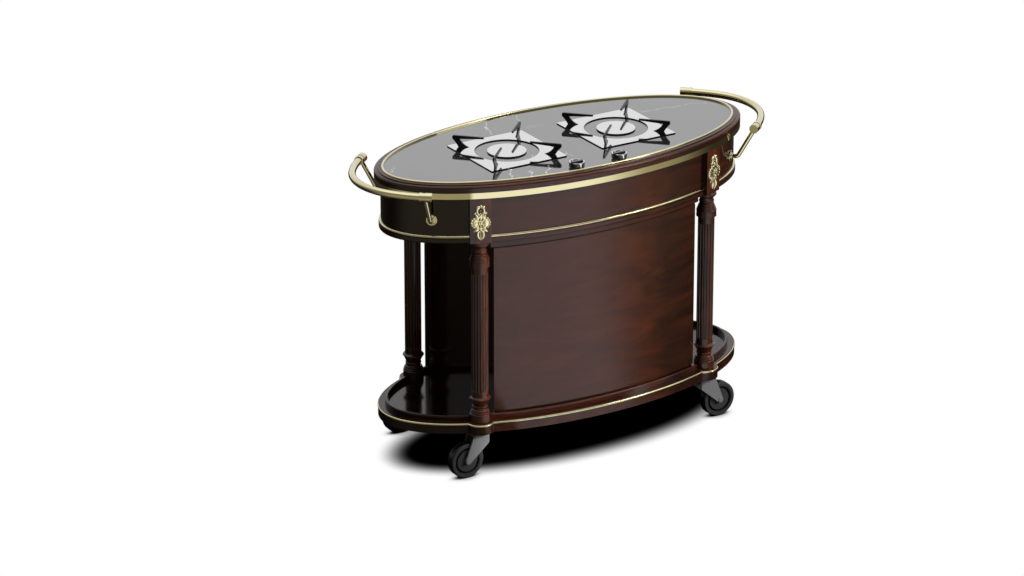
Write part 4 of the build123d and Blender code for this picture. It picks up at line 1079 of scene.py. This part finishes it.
def turn_from_front(tree, look):
    """Angle to the right of the front, from a point or a direction."""
    split = place(tree, "ShaderNodeSeparateXYZ", {0: look})
    return math_node(
        tree, "ARCTAN2", split.outputs["X"], math_node(tree, "MULTIPLY", split.outputs["Y"], -1.0)
    )


def between(tree, angle, rise, fall):
    """One where an angle has passed the rise and not yet the fall, both in degrees."""
    risen = remapped(tree, angle, *(math.radians(value) for value in rise))
    fallen = remapped(tree, angle, *(math.radians(value) for value in fall), 1.0, 0.0)
    return math_node(tree, "MULTIPLY", risen, fallen)


def floor_material(settings):
    """White floor with a painted soft shadow; mirrors see it bright in front of the cart and dim elsewhere.
    """
    material, tree = empty_material("Studio Floor")
    path = place(tree, "ShaderNodeLightPath")
    spot = place_on_piece(tree)
    inset = shelf_inset(tree, spot)
    fade = remapped(tree, inset, SHADOW_START, settings.shadow_edge, 1.0, 0.0)
    contact = place(
        tree, "ShaderNodeAmbientOcclusion", {"Distance": settings.contact_reach}, samples=16
    ).outputs["AO"]
    shadow = math_node(
        tree, "MULTIPLY", math_node(tree, "POWER", fade, SHADOW_FALL), remapped(tree, contact, *CONTACT_FALL)
    )
    turn = turn_from_front(tree, spot)
    front = between(tree, turn, *FRONT_TURNS)
    dim = between(tree, turn, *SIDE_TURNS)
    sides = mixed(tree, remapped(tree, dim, 0.0, 1.0, LEFT_BEHIND, 1.0), BLACK, settings.side_glow)
    sides = mixed(tree, remapped(tree, inset, *SIDE_DIMMING), BLACK, sides)
    glow = mixed(tree, front, sides, settings.front_glow)
    glow = mixed(tree, remapped(tree, inset, *NEAR_DIMMING), BLACK, glow)
    tone = mixed(tree, path.outputs["Is Glossy Ray"], WHITE, glow)
    shaded = mixed(tree, 1.0, tone, shadow, "MULTIPLY")
    lit = place(tree, "ShaderNodeEmission", {"Color": shaded, "Strength": 1.0})
    plain = place(tree, "ShaderNodeBsdfDiffuse", {"Color": FLOOR_GREY})
    seen = seen_directly(tree)
    both = place(tree, "ShaderNodeMixShader", {0: seen, 1: plain.outputs[0], 2: lit.outputs[0]})
    place(tree, "ShaderNodeOutputMaterial", {"Surface": both.outputs[0]})
    return material


def mirrored_sky(tree, settings):
    """What mirrors see over the floor: white behind and above, dimmer in front, with a panel and a lamp."""
    look = place(tree, "ShaderNodeTexCoord").outputs["Generated"]
    lean = place(tree, "ShaderNodeVectorMath", {0: look, 1: SKY_LEAN}, operation="DOT_PRODUCT")
    sky = remapped(tree, lean.outputs["Value"], *SKY_LIGHT)
    rise = math_node(tree, "ARCSINE", place(tree, "ShaderNodeSeparateXYZ", {0: look}).outputs["Z"])
    overhead = remapped(tree, rise, *(math.radians(value) for value in OVERHEAD_RISE), 0.0, OVERHEAD_LIGHT)
    sky = math_node(tree, "ADD", sky, overhead)
    turn = turn_from_front(tree, look)
    panel = math_node(
        tree, "MULTIPLY", between(tree, turn, *PANEL_TURNS), between(tree, rise, *PANEL_RISES)
    )
    spot = math_node(
        tree, "MULTIPLY", between(tree, turn, *SPOT_TURNS), between(tree, rise, *SPOT_RISES)
    )
    lit = math_node(tree, "ADD", sky, math_node(tree, "MULTIPLY", panel, settings.panel_glow))
    return math_node(tree, "ADD", lit, math_node(tree, "MULTIPLY", spot, settings.spot_glow))


def studio_sky(settings):
    """White for the camera, a studio for mirrors, and a softer light for everything else."""
    world = bpy.data.worlds.new("Studio Sky")
    world.use_nodes = True
    tree = world.node_tree
    tree.nodes.clear()
    path = place(tree, "ShaderNodeLightPath")
    tone = mixed(tree, path.outputs["Is Glossy Ray"], WHITE, mirrored_sky(tree, settings))
    soft = place(tree, "ShaderNodeBackground", {"Color": WHITE, "Strength": settings.sky})
    white = place(tree, "ShaderNodeBackground", {"Color": tone, "Strength": 1.0})
    both = place(
        tree, "ShaderNodeMixShader", {0: seen_directly(tree), 1: soft.outputs[0], 2: white.outputs[0]}
    )
    place(tree, "ShaderNodeOutputWorld", {"Surface": both.outputs[0]})
    bpy.context.scene.world = world


class CART_OT_stage(bpy.types.Operator):
    """Sets up the floor, the light and the camera"""

    bl_idname = "cart.stage"
    bl_label = "Stage"

    def execute(self, context):
        settings = context.scene.cart_stage
        mesh = bmesh.new()
        bmesh.ops.create_grid(mesh, x_segments=1, y_segments=1, size=settings.floor_reach)
        floor = new_object("studio_floor", mesh, floor_material(settings))
        studio_sky(settings)
        add_lamp("side_lamp", settings.side_power, *SIDE_LAMP)
        add_lamp("front_beam", settings.beam_power, *FRONT_BEAM)
        add_lamp("top_beam", settings.top_power, *TOP_BEAM)
        camera = bpy.data.objects.new("camera", bpy.data.cameras.new("camera"))
        camera.data.sensor_width = SENSOR_WIDTH
        camera.data.lens = settings.lens
        camera.data.clip_end = CAMERA_REACH
        camera.location = settings.camera_place
        camera.rotation_euler = settings.camera_turn
        context.scene.collection.objects.link(camera)
        context.scene.camera = camera
        context.scene.view_settings.view_transform = "Standard"
        return {"FINISHED"}


# Sidebar and registration

OPERATORS = (
    CART_OT_stage,
    CART_OT_wood,
    CART_OT_stone,
    CART_OT_brass,
    CART_OT_ornaments,
    CART_OT_burners,
    CART_OT_knobs,
    CART_OT_castors,
)


class CART_PT_panel(bpy.types.Panel):
    """Lists the steps that dress the cart"""

    bl_idname = "CART_PT_panel"
    bl_label = "Service Cart"
    bl_space_type = "VIEW_3D"
    bl_region_type = "UI"
    bl_category = "Cart"

    def draw(self, context):
        for operator in OPERATORS:
            self.layout.operator(operator.bl_idname)


GROUPS = {"cart_colours": CartColours, "cart_ornament": CartOrnament, "cart_stage": CartStage}


def register():
    for group in GROUPS.values():
        bpy.utils.register_class(group)
    for name, group in GROUPS.items():
        setattr(bpy.types.Scene, name, PointerProperty(type=group))
    for part in (*OPERATORS, CART_PT_panel):
        bpy.utils.register_class(part)


def unregister():
    for part in reversed((*OPERATORS, CART_PT_panel)):
        bpy.utils.unregister_class(part)
    for name, group in GROUPS.items():
        delattr(bpy.types.Scene, name)
        bpy.utils.unregister_class(group)


def main():
    register()
    for operator in OPERATORS:
        family, name = operator.bl_idname.split(".")
        getattr(getattr(bpy.ops, family), name)()


if __name__ == "__main__":
    main()
